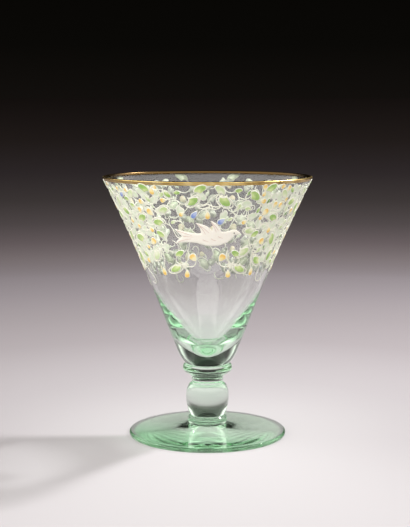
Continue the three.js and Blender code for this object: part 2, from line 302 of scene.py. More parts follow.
def softened(points: list[Point], spacing: float, reach: float) -> list[Point]:
    """Rounds the corners of a line, as flame-softened glass has them, and keeps its ends.

    Args:
        points: The line's points.
        spacing: The even spacing of the result, in millimetres.
        reach: How far the rounding spreads along the line, in millimetres.
    """
    line = evenly(points, spacing)
    span = max(1, round(SOFT_SPAN * reach / spacing))
    weights = [math.exp(-0.5 * (k * spacing / reach) ** 2) for k in range(-span, span + 1)]
    result = []
    for i in range(len(line)):
        near = min(span, i, len(line) - 1 - i)
        kept = weights[span - near : span + near + 1]
        part = list(zip(kept, line[i - near : i + near + 1]))
        result.append(tuple(sum(w * p[axis] for w, p in part) / sum(kept) for axis in (0, 1)))
    return result


def bent(along: float, across: float, bend: float) -> Point:
    """Returns a place beside a unit line that starts at the origin and bends evenly to the left.

    Args:
        along: The place along the line, from 0 to 1.
        across: The distance to the line's left.
        bend: How far the whole line turns, in radians.
    """
    if abs(bend) < TINY:
        return along, across
    turn = bend * (along - 0.5)
    x = (math.sin(turn) + math.sin(bend / 2)) / bend
    y = (math.cos(bend / 2) - math.cos(turn)) / bend
    return x - across * math.sin(turn), y + across * math.cos(turn)


def drop_outline(turn: float, share: float) -> Point:
    """Returns a place on the outline of a unit drop, pointed at its start: along it and across it.

    Args:
        turn: The way round the outline from the pointed start, in radians.
        share: The outline's size beside the drop's own, about the drop's heart.
    """
    along = DROP_HEART + ((1 - math.cos(turn)) / 2 - DROP_HEART) * share
    return along, -0.5 / DROP_NARROWING * math.sin(turn) * math.sin(turn / 2) * share


@dataclass(frozen=True)
class HandMadeGlass:
    """Soda-lime glass, gathered, blown and tooled by hand.

    Its iron tints it green where it is thick and leaves a thin wall nearly colourless. The surface is
    fire polished, so it is smooth to the touch and only a little wavy. Shadow rays pass straight
    through and lose a little, more where they graze the glass.
    """

    name: str = "hand_blown_soda_lime_glass"
    refraction: float = 1.52
    tint: str = "#8CDCA2"
    tint_density: float = 14.0
    head_on_loss: float = 0.1
    grazing_power: float = 5.0
    waviness: float = 0.000025
    wave_length: float = 9.0
    wave_detail: float = 1.0

    def material(self) -> Material:
        """Returns the glass with its tint inside and its faint waves outside."""
        material, add = new_material(self.name)
        place = add("ShaderNodeTexCoord").outputs["Object"]
        scale = 1 / mm(self.wave_length)
        look = {"Vector": place, "Scale": scale, "Detail": self.wave_detail}
        waves = add("ShaderNodeTexNoise", look)
        bump = add("ShaderNodeBump", {"Height": waves, "Distance": self.waviness})
        glass = add(
            "ShaderNodeBsdfPrincipled",
            {
                "Base Color": (1.0, 1.0, 1.0, 1.0),
                "Roughness": 0.0,
                "IOR": self.refraction,
                "Transmission Weight": 1.0,
                "Normal": bump,
            },
        )
        slant = add("ShaderNodeLayerWeight").outputs["Facing"]
        grazing = add("ShaderNodeMath", (slant, self.grazing_power), operation="POWER")
        kept = add("ShaderNodeMapRange", (grazing, 0.0, 1.0, 1 - self.head_on_loss, 0.0))
        passing = add("ShaderNodeBsdfTransparent", (kept,))
        path = add("ShaderNodeLightPath").outputs
        soft = add("ShaderNodeMath", (path["Is Shadow Ray"], path["Is Diffuse Ray"]), operation="MAXIMUM")
        mix = add("ShaderNodeMixShader", (soft, glass, passing))
        inside = add(
            "ShaderNodeVolumeAbsorption", {"Color": linear(self.tint), "Density": self.tint_density}
        )
        add("ShaderNodeOutputMaterial", {"Surface": mix, "Volume": inside})
        return material


@dataclass(frozen=True)
class FiredGold:
    """Bright gold, brushed on as a liquid and fired on the glass.

    It is a film with brush marks round the lip and thin places, where it turns brown. Where its surface
    faces the axis its colour is a dull brown. Its tones run from worn to shining.
    """

    name: str = "fired_bright_gold"
    tones: Stops = ((0.32, "#9E824E"), (0.5, "#D2B572"), (0.72, "#F0DCA2"))
    seen_through: str = "#5C482A"
    outward: Pair = (-0.3, 0.4)
    patch_length: float = 7.0
    patch_detail: float = 3.0
    roughness: Pair = (0.34, 0.18)

    def material(self) -> Material:
        """Returns the gold with its thin places and brush marks."""
        material, add = new_material(self.name)
        place = add("ShaderNodeTexCoord").outputs
        scale = 1 / mm(self.patch_length)
        look = {"Vector": place["Object"], "Scale": scale, "Detail": self.patch_detail}
        patches = add("ShaderNodeTexNoise", look)
        colour = set_ramp(add("ShaderNodeValToRGB", (patches,)), self.tones)
        flat = add("ShaderNodeVectorMath", (place["Object"], (1.0, 1.0, 0.0)), operation="MULTIPLY")
        away = add("ShaderNodeVectorMath", (flat,), operation="NORMALIZE")
        facing = add("ShaderNodeVectorMath", (away, place["Normal"]), operation="DOT_PRODUCT")
        outward = add("ShaderNodeMapRange", (facing.outputs["Value"], *self.outward))
        # Where the surface faces the axis, the gold's colour turns dull brown.
        gold = add("ShaderNodeMixRGB", (outward, linear(self.seen_through), colour))
        rough = add("ShaderNodeMapRange", (patches, 0.0, 1.0, *self.roughness))
        metal = add("ShaderNodeBsdfPrincipled", {"Base Color": gold, "Metallic": 1.0, "Roughness": rough})
        add("ShaderNodeOutputMaterial", {"Surface": metal})
        return material


@dataclass(frozen=True)
class FiredEnamel:
    """Soft opaque enamel, laid on with a fine brush and fired on the glass.

    It stands up in a rounded bead with a satin gloss, and its colour pools towards one end of each
    stroke. The ramp runs from its thin end to its pooled end.
    """

    name: str
    thin: str
    body: str
    pooled: str
    stops: Triple = (0.05, 0.5, 0.95)
    rim: str = "#F7F7E9"
    rim_edges: Pair = (0.45, 0.8)
    roughness: Pair = (0.28, 0.44)
    mottle_length: float = 1.6
    mottle_detail: float = 2.0
    mottle_depth: float = 0.9
    skin: float = 0.05
    skin_strength: float = 0.5

    def material(self) -> Material:
        """Returns the enamel with pooled colour and a slightly uneven skin."""
        material, add = new_material(self.name)
        place = add("ShaderNodeTexCoord").outputs["Object"]
        scale = 1 / mm(self.mottle_length)
        look = {"Vector": place, "Scale": scale, "Detail": self.mottle_detail}
        mottle = add("ShaderNodeTexNoise", look)
        along, tone, edge = [
            add("ShaderNodeAttribute", attribute_name=name).outputs["Fac"]
            for name in ("along", "tone", "edge")
        ]
        uneven = (mottle, self.mottle_depth, -self.mottle_depth / 2)
        depth = add("ShaderNodeMath", uneven, operation="MULTIPLY_ADD")
        shifted = add("ShaderNodeMath", (depth, tone), operation="ADD")
        pooling = add("ShaderNodeMath", (along, shifted), operation="ADD", use_clamp=True)
        tones = zip(self.stops, (self.thin, self.body, self.pooled))
        ramp = set_ramp(add("ShaderNodeValToRGB", (pooling,)), tones)
        rim = add("ShaderNodeMapRange", (edge, *self.rim_edges))
        colour = add("ShaderNodeMixRGB", (rim, ramp, linear(self.rim)))
        rough = add("ShaderNodeMapRange", (mottle, 0.0, 1.0, *self.roughness))
        bead = {"Height": mottle, "Distance": mm(self.skin), "Strength": self.skin_strength}
        skin = add("ShaderNodeBump", bead)
        enamel = add(
            "ShaderNodeBsdfPrincipled", {"Base Color": colour, "Roughness": rough, "Normal": skin}
        )
        add("ShaderNodeOutputMaterial", {"Surface": enamel})
        return material


@dataclass(frozen=True)
class PaperSweep:
    """Matt backdrop paper with the light's falloff painted in: pale grey near the glass, nearly black far
    off.

    It lies flat round the glass and rises further out. The stops are metres from the glass, each with
    the paper's painted colour there straight behind it. To the sides and in front the paper stays pale
    up to where its edge fades. Under the foot a painted pool of light stands in for the light that has
    passed the glass: pale, and greener on the side away from the key light.
    """

    name: str = "matt_backdrop_paper"
    roughness: float = 0.9
    flat_radius: float = 0.7
    bend_radius: float = 0.5
    reach: float = 1.1
    flat_rings: Pair = (0.1, 0.3)
    bend_rings: int = 16
    segments: int = 128
    near: float = 0.3
    front_turn: Pair = (-1.3, 0.0)
    side_turn: Pair = (0.3, 0.85)
    side_stretch: float = 12.0
    fade_from: float = 0.9
    # The painted pool of light under the foot: its radius, soft edge, colours and the side that turns
    # greener.
    pool_radius: float = 0.0435
    pool_edge: float = 0.0025
    pool_pale: str = "#DCE6DC"
    pool_green: str = "#BAE6C4"
    pool_side: Triple = (-0.5, -0.87, 0.0)
    pool_turn: Pair = (-0.01, 0.04)
    # Painted shade: the light's falloff painted into the paper, darker with distance from the glass.
    stops: Stops = (
        (0.0, "#C3C0C2"),
        (0.15, "#ABA6A9"),
        (0.3, "#948E91"),
        (0.42, "#8A8487"),
        (0.58, "#7E787C"),
        (0.7, "#756F73"),
        (0.8, "#5F585A"),
        (0.85, "#4E4749"),
        (0.9, "#3C3738"),
        (0.95, "#2D2929"),
        (1.0, "#211D1E"),
        (1.05, "#171312"),
        (1.1, "#0D0A09"),
    )

    def height(self, radius: float) -> float:
        """Returns how high the paper stands at a distance from the glass, in metres."""
        beyond = max(0.0, radius - self.flat_radius)
        return self.bend_radius - math.sqrt(self.bend_radius**2 - beyond**2)

    def mesh(self) -> Mesh:
        """Returns the sweep as rings round the glass."""
        bend, count = self.reach - self.flat_radius, self.bend_rings
        radii = [*self.flat_rings, *(self.flat_radius + bend * i / count for i in range(count + 1))]
        turns = [2 * math.pi * i / self.segments for i in range(self.segments)]
        vertices = [(0.0, 0.0, 0.0)]
        for radius in radii:
            height = self.height(radius)
            vertices += [(radius * math.cos(turn), radius * math.sin(turn), height) for turn in turns]
        middle = [(0, 1 + i, 1 + (i + 1) % self.segments) for i in range(self.segments)]
        mesh = new_mesh("floor", vertices, [], [*middle, *ring_faces(1, len(radii), self.segments)])
        mesh.shade_smooth()
        return mesh

    def tone(self, add: Adder, flat: Node, away: Socket) -> Node:
        """Adds the nodes that paint the light's falloff into the paper's colour by its place.

        Args:
            add: The function that adds nodes.
            flat: The place on the floor.
            away: Its distance from the glass.

        Returns:
            The node with the paper's colour.
        """
        back = add("ShaderNodeSeparateXYZ", (flat,)).outputs["Y"]
        behind = add("ShaderNodeMath", (back, away), operation="DIVIDE")
        shrink = add(
            "ShaderNodeMapRange", (behind, *self.side_turn, 1 / self.side_stretch, 1.0), **SMOOTH
        )
        near = add("ShaderNodeMath", (away, self.near), operation="MINIMUM")
        turned = add("ShaderNodeMapRange", (behind, *self.front_turn), **SMOOTH)
        close = add("ShaderNodeMath", (near, turned), operation="MULTIPLY")
        beyond = add("ShaderNodeMath", (away, near), operation="SUBTRACT")
        spread = add("ShaderNodeMath", (beyond, shrink, close), operation="MULTIPLY_ADD")
        edge = add("ShaderNodeMapRange", (away, self.fade_from, self.reach, 0.0, self.reach))
        toned = add("ShaderNodeMath", (spread, edge), operation="MAXIMUM")
        share = add("ShaderNodeMath", (toned, 1 / self.reach), operation="MULTIPLY")
        # The stops paint the light's falloff into the paper's colour.
        stops = [(stop / self.reach, tone) for stop, tone in self.stops]
        return set_ramp(add("ShaderNodeValToRGB", (share,)), stops)

    def material(self) -> Material:
        """Returns the paper with the light's falloff painted in by distance, and the painted pool of light
        under the foot.
        """
        material, add = new_material(self.name)
        place = add("ShaderNodeTexCoord").outputs["Object"]
        flat = add("ShaderNodeVectorMath", (place, (1.0, 1.0, 0.0)), operation="MULTIPLY")
        away = add("ShaderNodeVectorMath", (flat,), operation="LENGTH").outputs["Value"]
        colour = self.tone(add, flat, away)
        # Painted pool of light under the foot, greener away from the key light, in place of light focused
        # through the glass.
        side = add("ShaderNodeVectorMath", (flat, self.pool_side), operation="DOT_PRODUCT")
        turned = add("ShaderNodeMapRange", (side.outputs["Value"], *self.pool_turn), **SMOOTH)
        pool = add("ShaderNodeMixRGB", (turned, linear(self.pool_pale), linear(self.pool_green)))
        edge = (self.pool_radius - self.pool_edge, self.pool_radius)
        inside = add("ShaderNodeMapRange", (away, *edge, 1.0, 0.0), **SMOOTH)
        lit = add("ShaderNodeMixRGB", (inside, colour, pool))
        matt = {"Base Color": lit, "Roughness": self.roughness, "Specular IOR Level": 0.0}
        add("ShaderNodeOutputMaterial", {"Surface": add("ShaderNodeBsdfPrincipled", matt)})
        return material


@dataclass(frozen=True)
class GlassSizes:
    """Sizes of the glass, in millimetres, from the foot up.

    A slope is a width over a height, and a fullness or a power shapes a curve. The hand's wobble is a
    share of the radius.
    """

    foot_height: float = 6.3
    foot_radius: float = 45.4
    foot_edge: float = 2.4
    foot_top_radius: float = 10.6
    foot_rise_power: float = 1.6
    ground_ring: float = 8.0
    foot_hollow: float = 3.3
    foot_hollow_power: float = 1.6
    collar_height: float = 4.7
    collar_swell: float = 0.9
    knop_height: float = 19.0
    knop_foot_radius: float = 9.5
    knop_radius: float = 12.4
    knop_belly: float = 11.0
    knop_lower_fullness: float = 0.85
    knop_upper_fullness: float = 0.5
    neck_height: float = 6.3
    neck_radius: float = 8.9
    neck_flare_radius: float = 12.2
    neck_flare_power: float = 3.0
    merese_height: float = 5.2
    merese_radius: float = 14.25
    bowl_height: float = 108.0
    bowl_base_radius: float = 12.7
    shoulder_height: float = 8.5
    shoulder_radius: float = 17.7
    base_bulge: float = 3.2
    base_bulge_height: float = 3.9
    rim_radius: float = 59.5
    lower_wall_slope: float = 0.385
    lower_wall_reach: float = 50.0
    upper_wall_slope: float = 0.5
    upper_wall_reach: float = 30.0
    wall: float = 1.6
    lip: float = 0.7
    base_thickness: float = 7.0
    cavity_rise: float = 39.5
    cavity_wall: float = 2.3
    cavity_bottom_reach: float = 8.0
    cavity_side_reach: float = 22.0
    cavity_side_slope: float = 0.4
    joint_rounding: float = 0.35
    stem_spacing: float = 0.33
    steps_round: int = 160
    hollow_steps: int = 20
    ring_steps: int = 4
    edge_steps: int = 14
    rise_steps: int = 40
    swell_steps: int = 24
    flare_steps: int = 12
    shoulder_steps: int = 20
    wall_steps: int = 80
    lip_steps: int = 12
    inside_steps: int = 40
    cavity_steps: int = 44
    hand_wobble: float = 0.0012
    wobble_size: float = 16.0
    wobble_detail: float = 1.0

    @property
    def collar_top(self) -> float:
        """Height of the lower collar's top."""
        return self.foot_height + self.collar_height

    @property
    def knop_top(self) -> float:
        """Height of the knop's top."""
        return self.collar_top + self.knop_height

    @property
    def neck_top(self) -> float:
        """Height of the neck's top."""
        return self.knop_top + self.neck_height

    @property
    def merese_top(self) -> float:
        """Height of the collar's top under the bowl."""
        return self.neck_top + self.merese_height

    @property
    def lip_top(self) -> float:
        """Height of the lip."""
        return self.merese_top + self.bowl_height

    @property
    def lip_start(self) -> float:
        """Height at which the lip's rounding starts."""
        return self.lip_top - self.lip


class GlassProfile:
    """The line that the glass body is turned from, as (radius, height) points in millimetres."""

    def __init__(self, sizes: GlassSizes) -> None:
        """Keeps the sizes and works out the bowl's outside wall."""
        self.sizes = s = sizes
        low = (s.shoulder_radius, s.merese_top + s.shoulder_height)
        high = (s.rim_radius, s.lip_start)
        above = (low[0] + s.lower_wall_slope * s.lower_wall_reach, low[1] + s.lower_wall_reach)
        below = (high[0] - s.upper_wall_slope * s.upper_wall_reach, high[1] - s.upper_wall_reach)
        self.wall_line = bezier([low, above, below, high], s.wall_steps)

    def wall_radius(self, height: float) -> float:
        """Returns the bowl's outside radius at a height above its shoulder."""
        for (r0, z0), (r1, z1) in zip(self.wall_line, self.wall_line[1:]):
            if height <= z1:
                return r0 + (r1 - r0) * (height - z0) / (z1 - z0)
        return self.wall_line[-1][0]

    def radius_from_lip(self, y: float) -> float:
        """Returns the bowl's outside radius at a height from the lip, negative below it."""
        return self.wall_radius(self.sizes.lip_top + y)

    def underside(self) -> list[Point]:
        """Returns the foot's hollow, its ground ring and its round edge."""
        s = self.sizes
        edge = s.foot_edge / 2
        centre = s.foot_radius - edge
        mouth = centre - s.ground_ring
        hollow = [mouth * i / s.hollow_steps for i in range(s.hollow_steps)]
        rise = [(r, s.foot_hollow * (1 - r / mouth) ** s.foot_hollow_power) for r in hollow]
        ring = [(centre - s.ground_ring * (1 - i / s.ring_steps), 0.0) for i in range(s.ring_steps)]
        turns = [math.pi * (i / s.edge_steps - 0.5) for i in range(s.edge_steps + 1)]
        round_edge = [(centre + edge * math.cos(t), edge + edge * math.sin(t)) for t in turns]
        return [*rise, *ring, *round_edge]

    def swell(self, bottom: float, top: float, radii: Triple) -> list[Point]:
        """Returns the outline of a ring that swells between two joints.

        Args:
            bottom: Height of its lower joint.
            top: Height of its upper joint.
            radii: Radius of the lower joint, of the upper joint and at the widest.
        """
        steps = self.sizes.swell_steps
        points = []
        for i in range(steps + 1):
            t = (1 - math.cos(math.pi * i / steps)) / 2
            joint = radii[0] + (radii[1] - radii[0]) * t
            bulge = math.sqrt(max(0.0, 1 - (2 * t - 1) ** 2))
            points.append((joint + (radii[2] - joint) * bulge, bottom + (top - bottom) * t))
        return points

    def knop_side(self, joint: float, fullness: float, ends: Point) -> list[Point]:
        """Returns the knop's outline from its belly out to one of its joints.

        Args:
            joint: The radius at the joint.
            fullness: The power that shapes it, a half for a circle's fullness.
            ends: The belly's height and the joint's height.
        """
        steps = self.sizes.swell_steps
        points = []
        for i in range(steps + 1):
            away = math.sin(math.pi / 2 * i / steps)
            radius = joint + (self.sizes.knop_radius - joint) * max(0.0, 1 - away**2) ** fullness
            points.append((radius, ends[0] + (ends[1] - ends[0]) * away))
        return points

    def stem(self) -> list[Point]:
        """Returns the outline from the foot's upper face to the bowl's shoulder, joints rounded."""
        s = self.sizes
        centre = s.foot_radius - s.foot_edge / 2
        line = []
        for i in range(1, s.rise_steps + 1):
            t = i / s.rise_steps
            rise = (s.foot_height - s.foot_edge) * t**s.foot_rise_power
            line.append((centre + (s.foot_top_radius - centre) * t, s.foot_edge + rise))
        collar = (s.foot_top_radius, s.knop_foot_radius, s.foot_top_radius + s.collar_swell)
        line += self.swell(s.foot_height, s.collar_top, collar)
        belly = s.collar_top + s.knop_belly
        line += self.knop_side(s.knop_foot_radius, s.knop_lower_fullness, (belly, s.collar_top))[::-1]
        line += self.knop_side(s.neck_radius, s.knop_upper_fullness, (belly, s.knop_top))
        for i in range(1, s.flare_steps + 1):
            t = i / s.flare_steps
            flare = (s.neck_flare_radius - s.neck_radius) * t**s.neck_flare_power
            line.append((s.neck_radius + flare, s.knop_top + s.neck_height * t))
        merese = (s.neck_flare_radius, s.bowl_base_radius, s.merese_radius)
        line += self.swell(s.neck_top, s.merese_top, merese)
        bulge = (s.bowl_base_radius + s.base_bulge, s.merese_top + s.base_bulge_height)
        shoulder = (s.shoulder_radius, s.merese_top + s.shoulder_height)
        line += bezier([(s.bowl_base_radius, s.merese_top), bulge, shoulder], s.shoulder_steps)
        distinct = [line[0]] + [b for a, b in zip(line, line[1:]) if math.dist(a, b) > TINY]
        return softened(distinct, s.stem_spacing, s.joint_rounding)

    def lip_arc(self, grow: float = 0.0) -> list[Point]:
        """Returns the lip's rounding from the outside over its crest to the inside.

        Args:
            grow: How far outside the glass the arc lies.
        """
        s = self.sizes
        wide, high = s.wall / 2 + grow, s.lip + grow
        middle = s.rim_radius - s.wall / 2
        turns = [math.pi * i / s.lip_steps for i in range(s.lip_steps + 1)]
        return [(middle + math.cos(t) * wide, s.lip_start + math.sin(t) * high) for t in turns]

    def inner_wall(self, height: float) -> float:
        """Returns the radius of the inside at a height above the thick part of the bowl."""
        s = self.sizes
        low = s.merese_top + s.base_thickness + s.cavity_rise
        down = (s.lip_start - height) / (s.lip_start - low)
        return self.wall_radius(height) - s.wall - (s.cavity_wall - s.wall) * down**2

    def inside(self) -> list[Point]:
        """Returns the bowl's inside from just under the lip down to the cavity's lowest point."""
        s = self.sizes
        floor = s.merese_top + s.base_thickness
        low = floor + s.cavity_rise
        steps = s.inside_steps
        heights = [s.lip_start + (low - s.lip_start) * i / steps for i in range(1, steps + 1)]
        wall = [(self.inner_wall(z), z) for z in heights]
        radius = wall[-1][0]
        above = (radius - s.cavity_side_slope * s.cavity_side_reach, low - s.cavity_side_reach)
        cavity = [(0.0, floor), (s.cavity_bottom_reach, floor), above, (radius, low)]
        return [*wall[:-1], *bezier(cavity, s.cavity_steps)[::-1]]

    def outline(self) -> list[Point]:
        """Returns the whole closed outline, from the axis under the foot to the cavity's floor."""
        outside = [*self.underside(), *self.stem(), *self.wall_line[1:-1:2]]
        return [*outside, *self.lip_arc(), *self.inside()]


class TurnedPieces:
    """Turns profiles round the axis with one Geometry Nodes tree."""

    def __init__(self, sizes: GlassSizes) -> None:
        """Keeps the sizes and builds the tree that every turned piece shares."""
        self.sizes = sizes
        self.tree = self._turning_tree()

    def _turning_tree(self) -> Tree:
        """Returns a tree that turns a profile line round the Z axis.

        Hand Wobble is the share by which noise draws a point towards the axis, and Wobble Size is the
        length of its waves.
        """
        tree, add, given = new_geometry_tree(
            "turned_profile", Segments="Int", Hand_Wobble="Float", Wobble_Size="Float", Material="Material"
        )
        size = add("GeometryNodeAttributeDomainSize", (given["Geometry"],)).outputs["Point Count"]
        across = add("ShaderNodeMath", (given["Segments"], 1.0), operation="ADD")
        grid = add(
            "GeometryNodeMeshGrid",
            {"Size X": 1.0, "Size Y": 1.0, "Vertices X": across, "Vertices Y": size},
        )
        position = add("GeometryNodeInputPosition")
        flat = add("ShaderNodeSeparateXYZ", (position,)).outputs
        round_share = add("ShaderNodeMath", (flat["X"], 0.5), operation="ADD")
        turn = add("ShaderNodeMath", (round_share, 2 * math.pi), operation="MULTIPLY")
        cosine = add("ShaderNodeMath", (turn,), operation="COSINE")
        sine = add("ShaderNodeMath", (turn,), operation="SINE")
        up_share = add("ShaderNodeMath", (flat["Y"], 0.5), operation="ADD")
        last = add("ShaderNodeMath", (size, 1.0), operation="SUBTRACT")
        row = add("ShaderNodeMath", (up_share, last), operation="MULTIPLY")
        index = add("ShaderNodeMath", (row,), operation="ROUND")
        sample = add(
            "GeometryNodeSampleIndex",
            {"Geometry": given["Geometry"], "Value": position, "Index": index},
            data_type="FLOAT_VECTOR",
        )
        point = add("ShaderNodeSeparateXYZ", (sample,)).outputs

        def around(radius: Node | Socket) -> Node:
            """Returns the place at that radius, at this point's height and turn."""
            x = add("ShaderNodeMath", (radius, cosine), operation="MULTIPLY")
            y = add("ShaderNodeMath", (radius, sine), operation="MULTIPLY")
            return add("ShaderNodeCombineXYZ", (x, y, point["Z"]))

        scale = add("ShaderNodeMath", (1.0, given["Wobble Size"]), operation="DIVIDE")
        place = around(point["X"])
        look = {"Vector": place, "Scale": scale, "Detail": self.sizes.wobble_detail}
        waves = add("ShaderNodeTexNoise", look)
        drawn_in = add("ShaderNodeMath", (waves, given["Hand Wobble"]), operation="MULTIPLY")
        share = add("ShaderNodeMath", (1.0, drawn_in), operation="SUBTRACT")
        radius = add("ShaderNodeMath", (point["X"], share), operation="MULTIPLY")
        placed = add("GeometryNodeSetPosition", {"Geometry": grid, "Position": around(radius)})
        closed = add("GeometryNodeMergeByDistance", {"Geometry": placed, "Distance": 2 * TINY})
        end_geometry_tree(add, closed, given["Material"])
        return tree

    def turn(self, name: str, outline: list[Point], material: Material, wobble: float) -> Object:
        """Turns one outline into a closed piece.

        Args:
            name: The piece's name.
            outline: Its (radius, height) points in millimetres, from axis to axis or closed.
            material: Its finish.
            wobble: The share by which the hand's unevenness draws it in.

        Returns:
            The piece.
        """
        vertices = [(mm(radius), 0.0, mm(height)) for radius, height in outline]
        edges = [(i, i + 1) for i in range(len(outline) - 1)]
        values = {
            "Segments": self.sizes.steps_round,
            "Hand Wobble": wobble,
            "Wobble Size": mm(self.sizes.wobble_size),
            "Material": material,
        }
        return shaped(name, new_mesh(f"{name}_profile", vertices, edges, []), self.tree, values)


@dataclass(frozen=True)
class GlassBody:
    """The glass itself, from the foot to the lip: one body, because its gathers are joined hot."""

    NODES = ("bowl", "merese", "neck", "knop", "foot_collar", "foot")

    profile: GlassProfile
    turned: TurnedPieces
    finish: HandMadeGlass

    def build(self) -> Object:
        """Turns the glass, closed all over, and puts it in its nodes' place."""
        outline, wobble = self.profile.outline(), self.profile.sizes.hand_wobble
        piece = self.turned.turn("glass_body", outline, self.finish.material(), wobble)
        place_piece(piece, "bowl_glass", *self.NODES)
        return piece


@dataclass(frozen=True)
class GiltLip:
    """The gold that is fired over the lip, deeper outside than inside, in millimetres."""

    profile: GlassProfile
    turned: TurnedPieces
    finish: FiredGold
    outside: float = 2.1
    inside: float = 1.6
    film: float = 0.06
    bond: float = 0.03
    turn_in: float = 0.45
    steps: int = 5

    def skin(self, grow: float) -> list[Point]:
        """Returns the band's outline at a distance outside the glass, from outside to inside."""
        glass = self.profile.sizes
        bottom = glass.lip_top - self.outside
        rows = [bottom + (glass.lip_start - bottom) * i / self.steps for i in range(self.steps)]
        outer = [(self.profile.wall_radius(z) + grow, z) for z in rows]
        ends = (glass.lip_start - self.turn_in, glass.lip_top - self.inside)
        inner = [(self.profile.inner_wall(z) - grow, z) for z in ends]
        return [*outer, *self.profile.lip_arc(grow), *inner]

    def build(self) -> Object:
        """Turns the band, bonded a little into the glass, and puts it in its node's place."""
        outer = self.skin(self.film)
        outline = [*outer, *self.skin(-self.bond)[::-1], outer[0]]
        piece = self.turned.turn("gilt_lip", outline, self.finish.material(), wobble=0.0)
        place_piece(piece, "gilding", "gilt_rim")
        return piece


class EnamelColour(Enum):
    """The enamels on the painter's palette."""

    IVORY = "ivory_scroll_enamel"
    LEAF = "leaf_green_enamel"
    MOSS = "moss_green_enamel"
    AMBER = "amber_enamel"
    PALE = "pale_green_enamel"
    GROUND = "mint_ground_enamel"
    BLUE = "blue_enamel"
    WHITE = "white_figure_enamel"
    BEIGE = "pink_beige_enamel"
    DARK = "dark_eye_enamel"


Kind = tuple[EnamelColour, float, float, float]


@dataclass(frozen=True)
class Palette:
    """Each enamel's colours, from its thin end to its pooled end, and its slot on the object."""

    finishes: tuple[tuple[EnamelColour, str, str, str, str], ...] = (
        (EnamelColour.IVORY, "#F6F6E4", "#FBFBEE", "#FFFEF6", "white_enamel"),
        (EnamelColour.LEAF, "#E0EEAC", "#C0DA8A", "#98C264", "green_enamel"),
        (EnamelColour.MOSS, "#B4D08C", "#8CB268", "#66964C", "green_enamel"),
        (EnamelColour.AMBER, "#FFF6CE", "#FFE795", "#FBD070", "yellow_enamel"),
        (EnamelColour.PALE, "#F0F5D8", "#E2EEC2", "#C8DE9E", "green_enamel"),
        (EnamelColour.GROUND, "#EFF4E2", "#E9F1DA", "#DEEBCC", "green_enamel"),
        (EnamelColour.BLUE, "#C0CDEE", "#9DB0E2", "#839BD8", "blue_enamel"),
        (EnamelColour.WHITE, "#FBF7E8", "#FFFBEE", "#FFFDF4", "white_enamel"),
        (EnamelColour.BEIGE, "#D9BDAF", "#CFAEA0", "#C2A092", "white_enamel"),
        (EnamelColour.DARK, "#4A3A33", "#3C2E29", "#2E2320", "white_enamel"),
    )

    def finish(self, colour: EnamelColour) -> FiredEnamel:
        """Returns the finish of one enamel."""
        thin, body, pooled = next(row[1:4] for row in self.finishes if row[0] is colour)
        return FiredEnamel(colour.value, thin, body, pooled)

    def slot(self, colour: EnamelColour) -> str:
        """Returns the object's material slot of one enamel."""
        return next(row[4] for row in self.finishes if row[0] is colour)


@dataclass
class Stroke:
    """A brush line in millimetres: x to the right, y up from the lip, seen from outside.

    Args:
        points: The line's points.
        halves: Half of its width at each point.
        angle: Which way round the bowl it faces, in radians from the front.
        lift: How far above the glass it starts.
    """

    points: list[Point]
    halves: list[float]
    angle: float
    lift: float = 0.0


@dataclass
class Drop:
    """A drop of enamel in millimetres, pointed where it starts and round at its far end.

    Args:
        place: Its pointed end: x to the right, y up from the lip.
        heading: The way that it lies, in radians from the right.
        size: Its length, width and relief.
        angle: Which way round the bowl it faces, in radians from the front.
        tone: A small shift of its colour.
        lift: How far above the glass it starts.
    """

    place: Point
    heading: float
    size: Triple
    angle: float
    tone: float = 0.0
    lift: float = 0.0


@dataclass(frozen=True)
class Curl:
    """One curl of a spray.

    Args:
        down: How far down the stem it leaves, from 0 to 1.
        side: Which side it leaves to, -1 or 1.
        reach: Its share of the longest curl.
        turn: How far it winds, in degrees.
        drop: Its drop's length and width.
        colour: Its drop's enamel.
    """

    down: float
    side: int
    reach: float
    turn: float
    drop: Pair
    colour: EnamelColour


CURLS = (
    Curl(0.02, -1, 1.0, 200, (7.6, 5.2), EnamelColour.LEAF),
    Curl(0.1, 1, 0.9375, 180, (7.0, 4.8), EnamelColour.PALE),
    Curl(0.3, -1, 0.8125, 170, (5.4, 4.2), EnamelColour.AMBER),
    Curl(0.38, 1, 0.8125, 205, (7.0, 4.8), EnamelColour.LEAF),
    Curl(0.6, -1, 0.625, 190, (5.4, 4.2), EnamelColour.LEAF),
    Curl(0.7, 1, 0.5625, 160, (5.4, 4.2), EnamelColour.AMBER),
)


@dataclass(frozen=True)
class Spray:
    """A hanging stem with curls, in millimetres.

    Args:
        below: How far below the lip it starts.
        length: Its length.
        sway: How far it swings to the side.
        curls: Its curls, from the top down.
    """

    below: float
    length: float
    sway: float
    curls: tuple[Curl, ...]


